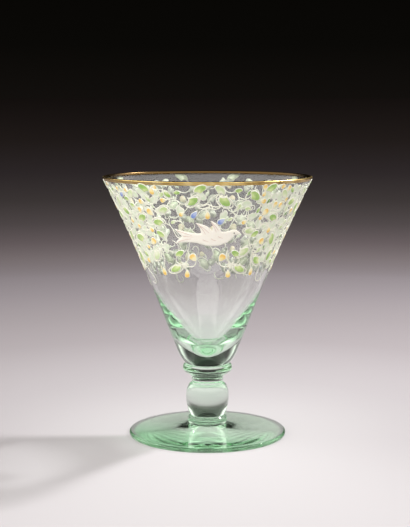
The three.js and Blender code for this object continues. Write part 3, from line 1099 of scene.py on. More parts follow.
@dataclass(frozen=True)
class EnamelSizes:
    """Sizes of the raised decoration, in millimetres.

    Curls, sprays and fans turn in degrees, and tails, the fans' stems and the blue drops in radians. A
    line's relief and tip are shares of its half width. An outline starts and turns in half turns.
    """

    line_half: float = 0.4
    line_relief: float = 0.8
    drop_relief: float = 0.5
    drop_seat: float = 1.5
    drop_clearance: float = 0.15
    drop_tone: float = 0.18
    bond: float = 0.04
    garland_count: int = 8
    garland: Spray = Spray(12.0, 38.0, 3.0, CURLS)
    crest: Spray = Spray(12.0, 5.0, 1.0, CURLS[:4])
    low: Spray = Spray(38.0, 12.5, 1.0, CURLS[4:])
    low_offset: float = 11.0
    stem_steps: int = 20
    stem_tip: float = 0.7
    tip_drop: Pair = (5.0, 3.0)
    longest_curl: float = 16.0
    leaving_angle: float = 63.0
    tightening: float = 1.5
    curl_steps: int = 18
    curl_tip: float = 0.45
    outlined_from: float = 6.0
    outline_share: float = 1.22
    outline_steps: int = 18
    outline_half_turns: Pair = (0.12, 1.7)
    outline_tip: float = 0.5
    garland_tail: float = 10.0
    tail_tries: int = 6
    tail_steps: int = 16
    tail_half_waves: float = 1.5
    tail_swing: Pair = (0.7, 1.7)
    tail_hook: Pair = (0.8, 2.4)
    tail_hook_power: int = 4
    tail_stretch: Pair = (0.75, 1.15)
    tail_clear_from: int = 3
    fan_root: Point = (12.5, -46.2)
    fan_stem: float = 2.4
    fan_bend: float = 0.25
    fan_steps: int = 6
    fan_tip: float = 0.8
    fan_leaves: tuple[tuple[float, float, float, EnamelColour, float], ...] = (
        (18.0, 6.4, 4.4, EnamelColour.LEAF, 7.0),
        (-112.0, 6.6, 4.6, EnamelColour.LEAF, 7.0),
        (-62.0, 3.8, 3.6, EnamelColour.AMBER, 0.0),
        (78.0, 5.6, 3.4, EnamelColour.AMBER, 0.0),
        (125.0, 5.2, 3.4, EnamelColour.PALE, 0.0),
        (172.0, 5.4, 4.4, EnamelColour.AMBER, 0.0),
    )
    blue_size: Pair = (5.4, 3.2)
    blue_drops: tuple[tuple[Point, float], ...] = (((-5.4, -15.5), -2.2), ((9.5, -19.8), -2.5))


@dataclass(frozen=True)
class Filling:
    """How the small marks fill the band between the garlands, in millimetres.

    A spacing is the least distance at the sides, in front and at the back. Heights are from the lip.
    Marks turn in degrees and pairs spread in radians. A kind of mark has its enamel, its share of the
    places, its length and its width, and each mark's own size is a factor.
    """

    seed: int = 41
    tries: int = 24000
    ground_spacing: Triple = (3.7, 15.0, 9.0)
    scroll_spacing: Triple = (9.0, 9.0, 9.0)
    mark_spacing: Triple = (2.6, 6.6, 6.6)
    ground_top: float = -6.2
    scroll_top: float = -8.0
    top: float = -4.2
    back_top: float = -8.0
    middle_bottom: float = -42.0
    side_bottom: float = -57.0
    bottom_slope: float = 0.35
    open_half: Pair = (13.0, 32.0)
    back_from: float = 90.0
    figure_centre: float = -30.0
    figure_reach: Pair = (22.5, 10.0)
    figure_bottom: float = 0.8
    clear_half: float = 26.0
    ground_leaf: Triple = (6.0, 4.8, 0.1)
    scroll_size: Pair = (0.85, 1.12)
    scroll_tail: Pair = (12.0, 22.0)
    scrolls: tuple[Kind, ...] = (
        (EnamelColour.LEAF, 0.72, 7.8, 5.4),
        (EnamelColour.PALE, 0.28, 7.0, 4.8),
    )
    pair_spread: float = 0.55
    mark_size: Pair = (0.8, 1.15)
    mark_seat: float = 0.6
    mark_tail: Pair = (3.0, 7.0)
    mark_turn: Pair = (70.0, 260.0)
    mark_tightening: float = 1.4
    mark_steps: int = 10
    mark_tip: float = 0.4
    marks: tuple[Kind, ...] = (
        (EnamelColour.LEAF, 0.27, 4.2, 2.8),
        (EnamelColour.PALE, 0.18, 3.8, 2.6),
        (EnamelColour.AMBER, 0.36, 4.0, 3.0),
        (EnamelColour.MOSS, 0.17, 3.4, 2.0),
        (EnamelColour.BLUE, 0.02, 5.0, 3.0),
    )


class PaintedPlaces:
    """The places on the bowl that are painted already, found by the cell that they lie in."""

    CELL = 9.0
    CELLS_ROUND = 19

    def __init__(self, profile: GlassProfile) -> None:
        """Starts with a bare bowl."""
        self.profile = profile
        self.cells: dict[tuple[int, int], list[Triple]] = {}

    def cell(self, turn: float, y: float) -> tuple[int, int]:
        """Returns the cell of a place: how far round the bowl and how far from the lip."""
        return round(turn / (2 * math.pi) * self.CELLS_ROUND) % self.CELLS_ROUND, round(y / self.CELL)

    def add(self, turn: float, y: float, reach: float) -> None:
        """Paints a round place.

        Args:
            turn: Its middle's place round the bowl, in radians from the front.
            y: Its middle's height from the lip.
            reach: Its radius.
        """
        self.cells.setdefault(self.cell(turn, y), []).append((turn, y, reach))

    def is_free(self, turn: float, y: float, reach: float) -> bool:
        """Says whether a round place touches nothing that is painted already."""
        radius = self.profile.radius_from_lip(y)
        around, up = self.cell(turn, y)
        cells = [((around + i) % self.CELLS_ROUND, up + j) for i in (-1, 0, 1) for j in (-1, 0, 1)]
        return all(
            math.hypot(radius * math.remainder(turn - other, 2 * math.pi), y - height) >= reach + size
            for cell in cells
            for other, height, size in self.cells.get(cell, ())
        )


class EnamelLayout:
    """Draws the decoration flat: ivory lines, and drops sorted by their enamel."""

    def __init__(self, sizes: EnamelSizes, filling: Filling, profile: GlassProfile) -> None:
        """Keeps the sizes and starts with an empty drawing."""
        self.sizes = sizes
        self.filling = filling
        self.profile = profile
        self.chance = random.Random(filling.seed)
        self.lines: list[Stroke] = []
        self.drops: dict[EnamelColour, list[Drop]] = {colour: [] for colour in EnamelColour}
        self.painted = PaintedPlaces(profile)

    def turn_at(self, x: float, y: float, angle: float) -> float:
        """Returns how far round the bowl a place lies, in radians from the front."""
        return angle + x / self.profile.radius_from_lip(y)

    def is_low(self, line: list[Point]) -> bool:
        """Says whether a line stays under the gold."""
        return max(y for _, y in line) <= self.filling.top

    def line(self, points: list[Point], tip: float, angle: float) -> None:
        """Draws a line that narrows evenly.

        Args:
            points: The line's points.
            tip: The share of its width that is left at its end.
            angle: Which way round the bowl it faces.
        """
        last = len(points) - 1
        halves = [self.sizes.line_half * (1 + (tip - 1) * i / last) for i in range(last + 1)]
        self.lines.append(Stroke(points, halves, angle))

    def lay(
        self, colour: EnamelColour, place: Point, heading: float, size: Triple, angle: float
    ) -> None:
        """Lays one drop of a length, width and relief, with a slightly different tone each time."""
        tone = self.chance.uniform(-self.sizes.drop_tone, self.sizes.drop_tone)
        self.drops[colour].append(Drop(place, heading, size, angle, tone))

    def add_drop(
        self, colour: EnamelColour, place: Point, heading: float, size: Pair, angle: float
    ) -> bool:
        """Lays one drop, if its place is free.

        Args:
            colour: Its enamel.
            place: Its pointed end.
            heading: The way that it lies.
            size: Its length and width. A leaf bends the other way where its width is negative.
            angle: Which way round the bowl it faces.

        Returns:
            Whether it was laid.
        """
        x, y = moved(place, heading, DROP_HEART * size[0])
        reach = (size[0] + abs(size[1])) / 4
        turn = self.turn_at(x, y, angle)
        is_free = self.painted.is_free(turn, y, reach + self.sizes.drop_clearance)
        if is_free:
            self.painted.add(turn, y, reach)
            self.lay(colour, place, heading, (*size, self.sizes.drop_relief), angle)
        return is_free

    def outlined(
        self, place: Point, heading: float, size: Pair, angle: float, tail: float
    ) -> None:
        """Winds a line round a leaf and lets it run out in a scroll where there is room.

        Args:
            place: The leaf's pointed end.
            heading: The way that the leaf lies.
            size: The leaf's length and width.
            angle: Which way round the bowl it faces.
            tail: The length of the scroll beyond the leaf.
        """
        s = self.sizes
        start, turned = s.outline_half_turns
        cosine, sine = math.cos(heading), math.sin(heading)
        points = []
        for i in range(s.outline_steps + 1):
            turn = math.pi * (start + turned * i / s.outline_steps)
            along, across = bent(*drop_outline(turn, s.outline_share), LEAF_BEND)
            x, y = along * size[0], across * size[1]
            points.append((place[0] + x * cosine - y * sine, place[1] + x * sine + y * cosine))
        (x0, y0), (x1, y1) = points[-2:]
        leaving = math.atan2(y1 - y0, x1 - x0)
        tails = [self.scroll_tail(points[-1], leaving, tail) for _ in range(s.tail_tries)]
        best = min(tails, key=lambda line: self.crossings(line, angle))
        line = next((line for line in ([*points, *best[1:]], points) if self.is_low(line)), None)
        if line:
            self.line(line, s.outline_tip, angle)
            for x, y in line[::2]:
                self.painted.add(self.turn_at(x, y, angle), y, s.line_half)

    def scroll_tail(self, start: Point, leaving: float, length: float) -> list[Point]:
        """Returns a line that swings to one side, then to the other, and closes in a small hook."""
        s = self.sizes
        side = self.chance.choice((-1, 1))
        swing = side * self.chance.uniform(*s.tail_swing)
        hook = side * self.chance.uniform(*s.tail_hook)
        headings = []
        for i in range(s.tail_steps):
            wave = math.sin(s.tail_half_waves * math.pi * i / s.tail_steps)
            headings.append(leaving + swing * wave - hook * (i / s.tail_steps) ** s.tail_hook_power)
        return walk(start, headings, length * self.chance.uniform(*s.tail_stretch))

    def crossings(self, line: list[Point], angle: float) -> int:
        """Returns how many of a line's points fall on what is painted already."""
        top, reach = self.filling.top, self.sizes.line_half
        return sum(
            y > top or not self.painted.is_free(self.turn_at(x, y, angle), y, reach)
            for x, y in line[self.sizes.tail_clear_from :]
        )

    def curl(self, curl: Curl, start: Point, mirror: int, angle: float) -> None:
        """Draws one curl and the drop that it ends in."""
        s = self.sizes
        side = curl.side * mirror
        leaving = math.radians(-90 + side * s.leaving_angle)
        headings = winding(leaving, side * math.radians(curl.turn), s.tightening, s.curl_steps)
        points = walk(start, headings, s.longest_curl * curl.reach)
        self.line(points, s.curl_tip, angle)
        seat = moved(points[-1], headings[-1], -s.drop_seat)
        leaf = (curl.drop[0], side * curl.drop[1])
        if self.add_drop(curl.colour, seat, headings[-1], leaf, angle) and leaf[0] > s.outlined_from:
            self.outlined(seat, headings[-1], leaf, angle, s.garland_tail)

    def spray(self, spray: Spray, x: float, mirror: int, angle: float) -> None:
        """Draws a hanging stem with its curls and its tip drop.

        Args:
            spray: Its sizes and its curls.
            x: Its place to the right.
            mirror: 1 or -1 for its mirror image.
            angle: Which way round the bowl it faces.
        """
        s = self.sizes
        points = []
        for i in range(s.stem_steps + 1):
            down = i / s.stem_steps
            swing = mirror * spray.sway * math.sin(2 * math.pi * down)
            points.append((x + swing, -spray.below - spray.length * down))
        self.line(points, s.stem_tip, angle)
        for curl in spray.curls:
            self.curl(curl, points[round(curl.down * s.stem_steps)], mirror, angle)
        end = (points[-1][0], points[-1][1] + s.drop_seat)
        self.add_drop(EnamelColour.AMBER, end, -math.pi / 2, s.tip_drop, angle)

    def garlands(self) -> None:
        """Hangs the garlands round the bowl, the crest over the figure and the low sprays."""
        s = self.sizes
        for i in range(1, s.garland_count + 1):
            angle = math.radians(360 / (s.garland_count + 1) * i)
            self.spray(s.garland, 0.0, 1 if i % 2 else -1, angle)
        self.spray(s.crest, 0.0, 1, 0.0)
        for place, heading in s.blue_drops:
            self.add_drop(EnamelColour.BLUE, place, heading, s.blue_size, 0.0)
        for side in (-1, 1):
            self.spray(s.low, side * s.low_offset, -side, 0.0)
            self.fan(side)

    def fan(self, side: int) -> None:
        """Opens a fan of leaves and berries round the end of a low spray."""
        s = self.sizes
        root = (side * s.fan_root[0], s.fan_root[1])
        for turn, length, width, colour, tail in s.fan_leaves:
            heading = math.radians(90 + side * turn)
            left = [1 - i / s.fan_steps for i in range(s.fan_steps)]
            points = walk(root, [heading + s.fan_bend * side * share for share in left], s.fan_stem)
            self.line(points, s.fan_tip, 0.0)
            leaf = (length, side * width)
            if self.add_drop(colour, points[-2], heading, leaf, 0.0) and tail:
                self.outlined(points[-2], heading, leaf, 0.0, tail)

    def taken(self, across: float, y: float) -> bool:
        """Says whether a small mark would fall on the figure or on the clear glass under it."""
        f = self.filling
        wide, high = f.figure_reach
        if (across / wide) ** 2 + ((y - f.figure_centre) / high) ** 2 < 1:
            return True
        if y > f.back_top and abs(across) > self.profile.sizes.rim_radius * math.pi / 2:
            return True
        beyond = abs(across) - f.clear_half
        if beyond < 0:
            return y < f.figure_centre - high * f.figure_bottom
        return y < max(f.side_bottom, f.middle_bottom - f.bottom_slope * beyond)

    def pick(self, kinds: tuple[Kind, ...]) -> Kind:
        """Returns one of the kinds of mark, each as often as its share says."""
        return self.chance.choices(kinds, [kind[1] for kind in kinds])[0]

    def any_heading(self) -> float:
        """Returns a heading by chance."""
        return self.chance.uniform(0, 2 * math.pi)

    def ground(self, angle: float, y: float) -> None:
        """Lays one broad pale leaf, thin enough for the other strokes to stand out on it."""
        length, width, relief = self.filling.ground_leaf
        heading = self.any_heading()
        size = (length, self.chance.choice((-1, 1)) * width, relief)
        start = moved((0.0, y), heading, -DROP_HEART * length)
        self.lay(EnamelColour.GROUND, start, heading, size, angle)

    def scroll(self, angle: float, y: float) -> None:
        """Draws one scroll leaf: a leaf in an outline that runs out in a long tail."""
        f = self.filling
        colour, _, length, width = self.pick(f.scrolls)
        size = self.chance.uniform(*f.scroll_size)
        heading = self.any_heading()
        leaf = (length * size, self.chance.choice((-1, 1)) * width * size)
        start = moved((0.0, y), heading, -DROP_HEART * length)
        if self.add_drop(colour, start, heading, leaf, angle):
            self.outlined(start, heading, leaf, angle, self.chance.uniform(*f.scroll_tail))

    def mark(self, angle: float, y: float) -> None:
        """Draws one small mark: a drop or two on a winding tail."""
        f = self.filling
        colour, _, length, width = self.pick(f.marks)
        size = self.chance.uniform(*f.mark_size)
        heading = self.any_heading()
        start = moved((0.0, y), heading, -length / 2)
        drop = (length * size, width * size)
        aside = (-f.pair_spread, f.pair_spread) if colour is EnamelColour.AMBER else (0.0,)
        laid = [self.add_drop(colour, start, heading + turn, drop, angle) for turn in aside]
        if not any(laid):
            return
        reach = self.chance.uniform(*f.mark_tail)
        turn = self.chance.choice((-1, 1)) * math.radians(self.chance.uniform(*f.mark_turn))
        headings = winding(heading + math.pi, turn, f.mark_tightening, f.mark_steps)
        points = walk(moved(start, heading, f.mark_seat), headings, reach)
        if self.is_low(points):
            self.line(points, f.mark_tip, angle)

    def apart(self, across: float, spacing: Triple) -> float:
        """Returns the least distance between two places.

        Args:
            across: How far round the bowl from the front they lie.
            spacing: Their least distance at the sides, in front and at the back.
        """
        (low, high), (sides, front, back) = self.filling.open_half, spacing
        ahead = 1 - min(1.0, max(0.0, (across - low) / (high - low)))
        behind = min(1.0, max(0.0, (across - self.filling.back_from) / (high - low)))
        return sides + max((front - sides) * ahead, (back - sides) * behind)

    def scatter(self, spacing: Triple, top: float) -> list[Point]:
        """Returns places round the bowl, each at its distance from all the others.

        Args:
            spacing: The least distance at the sides, in front and at the back.
            top: The highest place, from the lip.
        """
        kept = PaintedPlaces(self.profile)
        places = []
        for _ in range(self.filling.tries):
            angle = self.chance.uniform(-math.pi, math.pi)
            y = self.chance.uniform(self.filling.side_bottom, top)
            across = self.profile.radius_from_lip(y) * angle
            reach = self.apart(abs(across), spacing) / 2
            if not self.taken(across, y) and kept.is_free(angle, y, reach):
                kept.add(angle, y, reach)
                places.append((angle, y))
        return places

    def fill(self) -> None:
        """Scatters broad pale leaves, then scroll leaves, then small marks in what they leave."""
        f = self.filling
        layers = (
            ("ground leaves", self.ground, f.ground_spacing, f.ground_top),
            ("scroll leaves", self.scroll, f.scroll_spacing, f.scroll_top),
            ("small marks", self.mark, f.mark_spacing, f.top),
        )
        for name, draw, spacing, top in layers:
            places = self.scatter(spacing, top)
            for angle, y in places:
                draw(angle, y)
            LOG.info("enamel: %d places for %s", len(places), name)


class EnamelTrees:
    """Geometry Nodes trees that lay flat strokes, drops and figures on the glass."""

    PLACE = ("Glass", "Lip Height", "Bond")
    PLACE_SOCKETS = {"Glass": "Object", "Lip_Height": "Float", "Bond": "Float"}
    SECTION = {"Resolution": 5, "Radius": 1.0, "Start Angle": 0.0, "Sweep Angle": -math.pi}
    CLEAR_OF_GLASS = 0.1

    def __init__(self, glass: Object, profile: GlassProfile, sizes: EnamelSizes) -> None:
        """Builds the trees once for all pieces."""
        self.values = {
            "Glass": glass,
            "Lip Height": mm(profile.sizes.lip_top),
            "Bond": mm(sizes.bond),
            "Relief": sizes.line_relief,
        }
        self.wrap = self._wrap_tree()
        self.strokes = self._stroke_tree()
        self.drops = self._drop_tree()
        self.relief = self._relief_tree()

    def _wrap_tree(self) -> Tree:
        """Returns a tree that moves flat geometry onto the glass.

        A point's x and y lie across and up from the lip, on the side that its angle gives, and its z
        stands out from the glass.
        """
        tree, add, given = new_geometry_tree("wrap_on_glass", **self.PLACE_SOCKETS)
        angle, lift = [
            add("GeometryNodeInputNamedAttribute", {"Name": name}, data_type="FLOAT")
            for name in ("angle", "lift")
        ]
        sine = add("ShaderNodeMath", (angle,), operation="SINE")
        cosine = add("ShaderNodeMath", (angle,), operation="COSINE")
        forward = add("ShaderNodeMath", (cosine, -1.0), operation="MULTIPLY")
        outward = add("ShaderNodeCombineXYZ", (sine, forward, 0.0))
        right = add("ShaderNodeCombineXYZ", (cosine, sine, 0.0))
        flat = add("ShaderNodeSeparateXYZ", (add("GeometryNodeInputPosition"),)).outputs
        across = add("ShaderNodeVectorMath", {0: right, "Scale": flat["X"]}, operation="SCALE")
        level = add("ShaderNodeMath", (given["Lip Height"], flat["Y"]), operation="ADD")
        height = add("ShaderNodeCombineXYZ", (0.0, 0.0, level))
        outside = add(
            "ShaderNodeVectorMath", {0: outward, "Scale": self.CLEAR_OF_GLASS}, operation="SCALE"
        )
        beside = add("ShaderNodeVectorMath", (outside, across), operation="ADD")
        target = add("GeometryNodeObjectInfo", {"Object": given["Glass"]})
        ray = add(
            "GeometryNodeRaycast",
            {
                "Target Geometry": target.outputs["Geometry"],
                "Source Position": add("ShaderNodeVectorMath", (beside, height), operation="ADD"),
                "Ray Direction": add(
                    "ShaderNodeVectorMath", {0: outward, "Scale": -1.0}, operation="SCALE"
                ),
                "Ray Length": 2 * self.CLEAR_OF_GLASS,
            },
        ).outputs
        lifted = add("ShaderNodeMath", (flat["Z"], lift), operation="ADD")
        proud = add("ShaderNodeMath", (lifted, given["Bond"]), operation="SUBTRACT")
        off = add("ShaderNodeVectorMath", {0: ray["Hit Normal"], "Scale": proud}, operation="SCALE")
        landed = add("ShaderNodeVectorMath", (ray["Hit Position"], off), operation="ADD")
        placed = add("GeometryNodeSetPosition", {"Geometry": given["Geometry"], "Position": landed})
        add("NodeGroupOutput", (placed,))
        return tree

    def _lay(self, add: Adder, geometry: Node | Socket, given: dict[str, Socket]) -> None:
        """Ends a tree: wrap on the glass, smooth faces, real geometry and its material."""
        place = {name: given[name] for name in self.PLACE}
        wrapped = add("GeometryNodeGroup", {"Geometry": geometry, **place}, node_tree=self.wrap)
        end_geometry_tree(add, wrapped, given["Material"])

    def _stroke_tree(self) -> Tree:
        """Returns a tree that gives lines a half round section as wide as their half width."""
        tree, add, given = new_geometry_tree(
            "laid_strokes", **self.PLACE_SOCKETS, Relief="Float", Material="Material"
        )
        lines = add("GeometryNodeMeshToCurve", (given["Geometry"],))
        upright = add("GeometryNodeSetCurveNormal", (lines,), mode="Z_UP")
        arc = add("GeometryNodeCurveArc", self.SECTION, mode="RADIUS")
        lower = add("ShaderNodeCombineXYZ", (1.0, given["Relief"], 1.0))
        section = add("GeometryNodeTransform", {"Geometry": arc, "Scale": lower})
        closed = add("GeometryNodeSetSplineCyclic", {"Geometry": section, "Cyclic": True})
        half = add("GeometryNodeInputNamedAttribute", {"Name": "half"}, data_type="FLOAT")
        shape = {"Curve": upright, "Profile Curve": closed, "Scale": half, "Fill Caps": True}
        self._lay(add, add("GeometryNodeCurveToMesh", shape), given)
        return tree

    def _drop_tree(self) -> Tree:
        """Returns a tree that sets one unit drop at each point, turned and sized."""
        tree, add, given = new_geometry_tree(
            "laid_drops", **self.PLACE_SOCKETS, Drop="Object", Material="Material"
        )
        heading, length, width, relief = [
            add("GeometryNodeInputNamedAttribute", {"Name": name}, data_type="FLOAT")
            for name in ("heading", "length", "width", "relief")
        ]
        turn = add("ShaderNodeCombineXYZ", {"Z": heading})
        drops = add(
            "GeometryNodeInstanceOnPoints",
            {
                "Points": add("GeometryNodeMeshToPoints", {"Mesh": given["Geometry"]}),
                "Instance": add("GeometryNodeObjectInfo", {"Object": given["Drop"]}).outputs["Geometry"],
                "Rotation": add("FunctionNodeEulerToRotation", (turn,)),
                "Scale": add("ShaderNodeCombineXYZ", (length, width, relief)),
            },
        )
        self._lay(add, add("GeometryNodeRealizeInstances", {"Geometry": drops}), given)
        return tree

    def _relief_tree(self) -> Tree:
        """Returns a tree that lays a flat relief on the glass."""
        tree, add, given = new_geometry_tree("laid_relief", **self.PLACE_SOCKETS, Material="Material")
        self._lay(add, given["Geometry"], given)
        return tree


class EnamelPainter:
    """Turns the drawing's strokes and drops into pieces on the glass."""

    DROP_RINGS = ((1.0, 0.0, 0.68), (0.9, 0.86, 1.0), (0.7, 0.72, 0.0), (0.36, 0.98, 0.0))
    DROP_STEPS = 16
    BENT_LEAVES = (EnamelColour.LEAF, EnamelColour.PALE, EnamelColour.MOSS, EnamelColour.GROUND)
    LEAF_POOLING = 0.6

    def __init__(self, trees: EnamelTrees, palette: Palette) -> None:
        """Keeps the trees and the palette and makes the unit drop and the unit leaf."""
        self.trees = trees
        self.palette = palette
        self.unit_drop = self._unit_drop("unit_drop", 0.0)
        self.unit_leaf = self._unit_drop("unit_leaf", LEAF_BEND)

    def _unit_drop(self, name: str, bend: float) -> Object:
        """Returns one drop of unit length, width and relief with a raised rim.

        Its attribute "along" runs from its point to its round end, and on a leaf mostly from its inner
        to its outer side, where the colour pools. Its attribute "edge" is 1 on its rim.

        Args:
            name: The drop's name.
            bend: How far it bends along its length, in radians.
        """
        count = self.DROP_STEPS
        pooling = self.LEAF_POOLING if bend else 0.0
        vertices, along, edge = [], [], []
        for share, height, rim in self.DROP_RINGS:
            for turn in [2 * math.pi * i / count for i in range(count)]:
                vertices.append((*bent(*drop_outline(turn, share), bend), height))
                along.append((1 - math.cos(turn) + pooling * (math.cos(turn) + math.sin(turn))) / 2)
                edge.append(rim)
        top = len(vertices)
        vertices.append((*bent(DROP_HEART, 0.0, bend), 1.0))
        inner = [top - count + i for i in range(count)]
        cap = [(a, top, b) for a, b in zip(inner, inner[1:] + inner[:1])]
        faces = [tuple(range(count)), *ring_faces(0, len(self.DROP_RINGS), count), *cap]
        mesh = new_mesh(name, vertices, [], faces, along=[*along, 0.5], edge=[*edge, 0.0])
        return bpy.data.objects.new(name, mesh)

    def lay(
        self, name: str, colour: EnamelColour, source: Mesh, tree: Tree, *nodes: str, **values: object
    ) -> Object:
        """Lays flat geometry of one enamel on the glass.

        Args:
            name: The piece's name.
            colour: Its enamel.
            source: The flat geometry.
            tree: The tree that lays it.
            *nodes: The CAD nodes that it takes the place of.
            **values: More of the tree's input values.

        Returns:
            The piece, on its body.
        """
        finish = self.palette.finish(colour).material()
        piece = shaped(name, source, tree, {**self.trees.values, **values, "Material": finish})
        place_piece(piece, self.palette.slot(colour), *nodes)
        return piece

    def strokes(self, name: str, colour: EnamelColour, strokes: list[Stroke], *nodes: str) -> Object:
        """Lays strokes of one enamel on the glass, in the place of the given CAD nodes."""
        vertices, edges, halves, angles, lifts = [], [], [], [], []
        for stroke in strokes:
            first, count = len(vertices), len(stroke.points)
            vertices += [(mm(x), mm(y), 0.0) for x, y in stroke.points]
            edges += [(i, i + 1) for i in range(first, first + count - 1)]
            halves += [mm(half) for half in stroke.halves]
            angles += [stroke.angle] * count
            lifts += [mm(stroke.lift)] * count
        source = new_mesh(f"{name}_lines", vertices, edges, [], half=halves, angle=angles, lift=lifts)
        return self.lay(name, colour, source, self.trees.strokes, *nodes)

    def drops(self, name: str, colour: EnamelColour, drops: list[Drop]) -> Object:
        """Lays drops of one enamel on the glass, with a pale rim as the brush leaves it."""
        source = new_mesh(
            f"{name}_points",
            [(mm(drop.place[0]), mm(drop.place[1]), 0.0) for drop in drops],
            [],
            [],
            heading=[drop.heading for drop in drops],
            length=[mm(drop.size[0]) for drop in drops],
            width=[mm(drop.size[1]) for drop in drops],
            relief=[mm(drop.size[2]) for drop in drops],
            angle=[drop.angle for drop in drops],
            tone=[drop.tone for drop in drops],
            lift=[mm(drop.lift) for drop in drops],
        )
        unit = self.unit_leaf if colour in self.BENT_LEAVES else self.unit_drop
        return self.lay(name, colour, source, self.trees.drops, Drop=unit)


@dataclass(frozen=True)
class BirdSizes:
    """Sizes of the bird in flight, in millimetres, with its outline about its own middle.

    Its inside is filled with points a grain apart, in rows and columns counted from the middle. Rows
    and the clearance from the edge are shares of the grain.
    """

    below_lip: float = 30.5
    relief: float = 0.4
    edge_round: float = 0.9
    edge_height: float = 0.14
    outline_spacing: float = 0.5
    bend_steps: int = 10
    grain: float = 0.7
    grain_rows: float = 0.87
    grain_clearance: float = 0.55
    columns: tuple[int, int] = (-28, 29)
    rows: tuple[int, int] = (-12, 16)
    start: Point = (18.0, 1.6)
    bends: tuple[tuple[Point, Point], ...] = (
        ((15.6, 4.9), (12.2, 3.8)),
        ((9.5, 2.8), (7.2, 3.2)),
        ((6.8, 7.2), (1.5, 9.4)),
        ((3.2, 6.6), (2.4, 3.6)),
        ((0.4, 7.0), (-6.5, 8.0)),
        ((-3.4, 5.2), (-3.6, 2.2)),
        ((-8.0, 1.8), (-18.0, 4.6)),
        ((-15.5, 1.8), (-13.6, 0.2)),
        ((-16.0, -1.2), (-17.2, -3.8)),
        ((-9.0, -2.2), (-4.0, -3.8)),
        ((4.0, -6.8), (11.0, -2.8)),
        ((13.2, -1.4), (14.2, 0.8)),
    )
    feather_half: float = 0.16
    feather_taper: float = 0.008
    feather_steps: int = 8
    feather_sunk: float = 0.03
    feathers: tuple[tuple[Point, Point, Point], ...] = (
        ((1.9, 8.2), (4.6, 6.4), (5.8, 3.6)),
        ((2.6, 7.0), (4.0, 5.2), (4.6, 2.9)),
        ((-5.4, 7.2), (-2.0, 5.6), (0.6, 2.6)),
        ((-4.2, 6.2), (-2.2, 4.4), (-1.2, 1.8)),
        ((-16.2, 3.6), (-12.0, 2.2), (-8.4, 1.0)),
        ((-15.6, -2.6), (-12.0, -1.2), (-8.6, -0.8)),
        ((-13.0, 0.6), (-10.6, 0.4), (-8.0, 0.2)),
        ((-2.6, -1.2), (-1.2, -2.0), (0.4, -2.2)),
        ((1.8, -0.6), (3.0, -1.6), (4.6, -1.8)),
        ((5.6, 0.6), (6.8, -0.4), (8.2, -0.4)),
    )
    eye: Point = (13.6, 2.4)
    eye_size: Triple = (0.9, 0.8, 0.2)


@dataclass(frozen=True)
class Bird:
    """A white bird in flight at the front, with a few feather lines."""

    sizes: BirdSizes
    painter: EnamelPainter

    def outline(self) -> list[Point]:
        """Returns the outline as evenly spaced points."""
        s = self.sizes
        points = [s.start]
        for control, end in s.bends:
            points += bezier([points[-1], control, end], s.bend_steps)[1:]
        return evenly([*points, s.start], s.outline_spacing)[:-1]

    def filling(self, outline: list[Point]) -> list[Point]:
        """Returns even rows of points inside the outline, clear of its edge."""
        s = self.sizes
        cells = [(i + 0.5 * (j % 2), j) for i in range(*s.columns) for j in range(*s.rows)]
        points = [(i * s.grain, j * s.grain * s.grain_rows) for i, j in cells]
        clear = s.grain * s.grain_clearance
        kept = [point for point in points if is_inside(point, outline)]
        return [point for point in kept if min(math.dist(point, other) for other in outline) > clear]

    def relief_mesh(self) -> Mesh:
        """Returns the bird as a closed cushion with round edges."""
        s = self.sizes
        outline = self.outline()
        count = len(outline)
        flat = [Vector(point) for point in [*outline, *self.filling(outline)]]
        edges = [(i, (i + 1) % count) for i in range(count)]
        placed, _, faces, sources, _, _ = delaunay_2d_cdt(flat, edges, [], 1, TINY)
        vertices = []
        for point, origins in zip(placed, sources):
            is_rim = any(origin < count for origin in origins)
            near = 0.0 if is_rim else min(math.dist(point, other) for other in outline)
            rise = min(1.0, near / s.edge_round)
            height = s.edge_height + (s.relief - s.edge_height) * math.sqrt(1 - (1 - rise) ** 2)
            vertices.append((mm(point[0]), mm(point[1] - s.below_lip), mm(height)))
        vertices += [(x, y, 0.0) for x, y, _ in vertices]
        below = len(placed)
        under = [tuple(i + below for i in reversed(face)) for face in faces]
        ways = [(a, b) for face in faces for a, b in zip(face, [*face[1:], face[0]])]
        known = set(ways)
        sides = [(b, a, a + below, b + below) for a, b in ways if (b, a) not in known]
        flat_numbers = {"angle": 0.0, "lift": 0.0, "along": 0.5}
        numbers = {label: [value] * len(vertices) for label, value in flat_numbers.items()}
        return new_mesh("bird_relief", vertices, [], [*faces, *under, *sides], **numbers)

    def build(self) -> None:
        """Lays the bird, its feather lines and its eye on the glass."""
        s, painter = self.sizes, self.painter
        mesh = self.relief_mesh()
        painter.lay("bird", EnamelColour.WHITE, mesh, painter.trees.relief, "enamel_bird")
        halves = [s.feather_half - s.feather_taper * i for i in range(s.feather_steps + 1)]
        lines = []
        for controls in s.feathers:
            points = [(x, y - s.below_lip) for x, y in bezier([*controls], s.feather_steps)]
            lines.append(Stroke(points, halves, 0.0, s.relief - s.feather_sunk))
        painter.strokes("bird_feather_lines", EnamelColour.BEIGE, lines)
        place = (s.eye[0], s.eye[1] - s.below_lip)
        painter.drops("bird_eye", EnamelColour.DARK, [Drop(place, 0.0, s.eye_size, 0.0, lift=s.relief)])


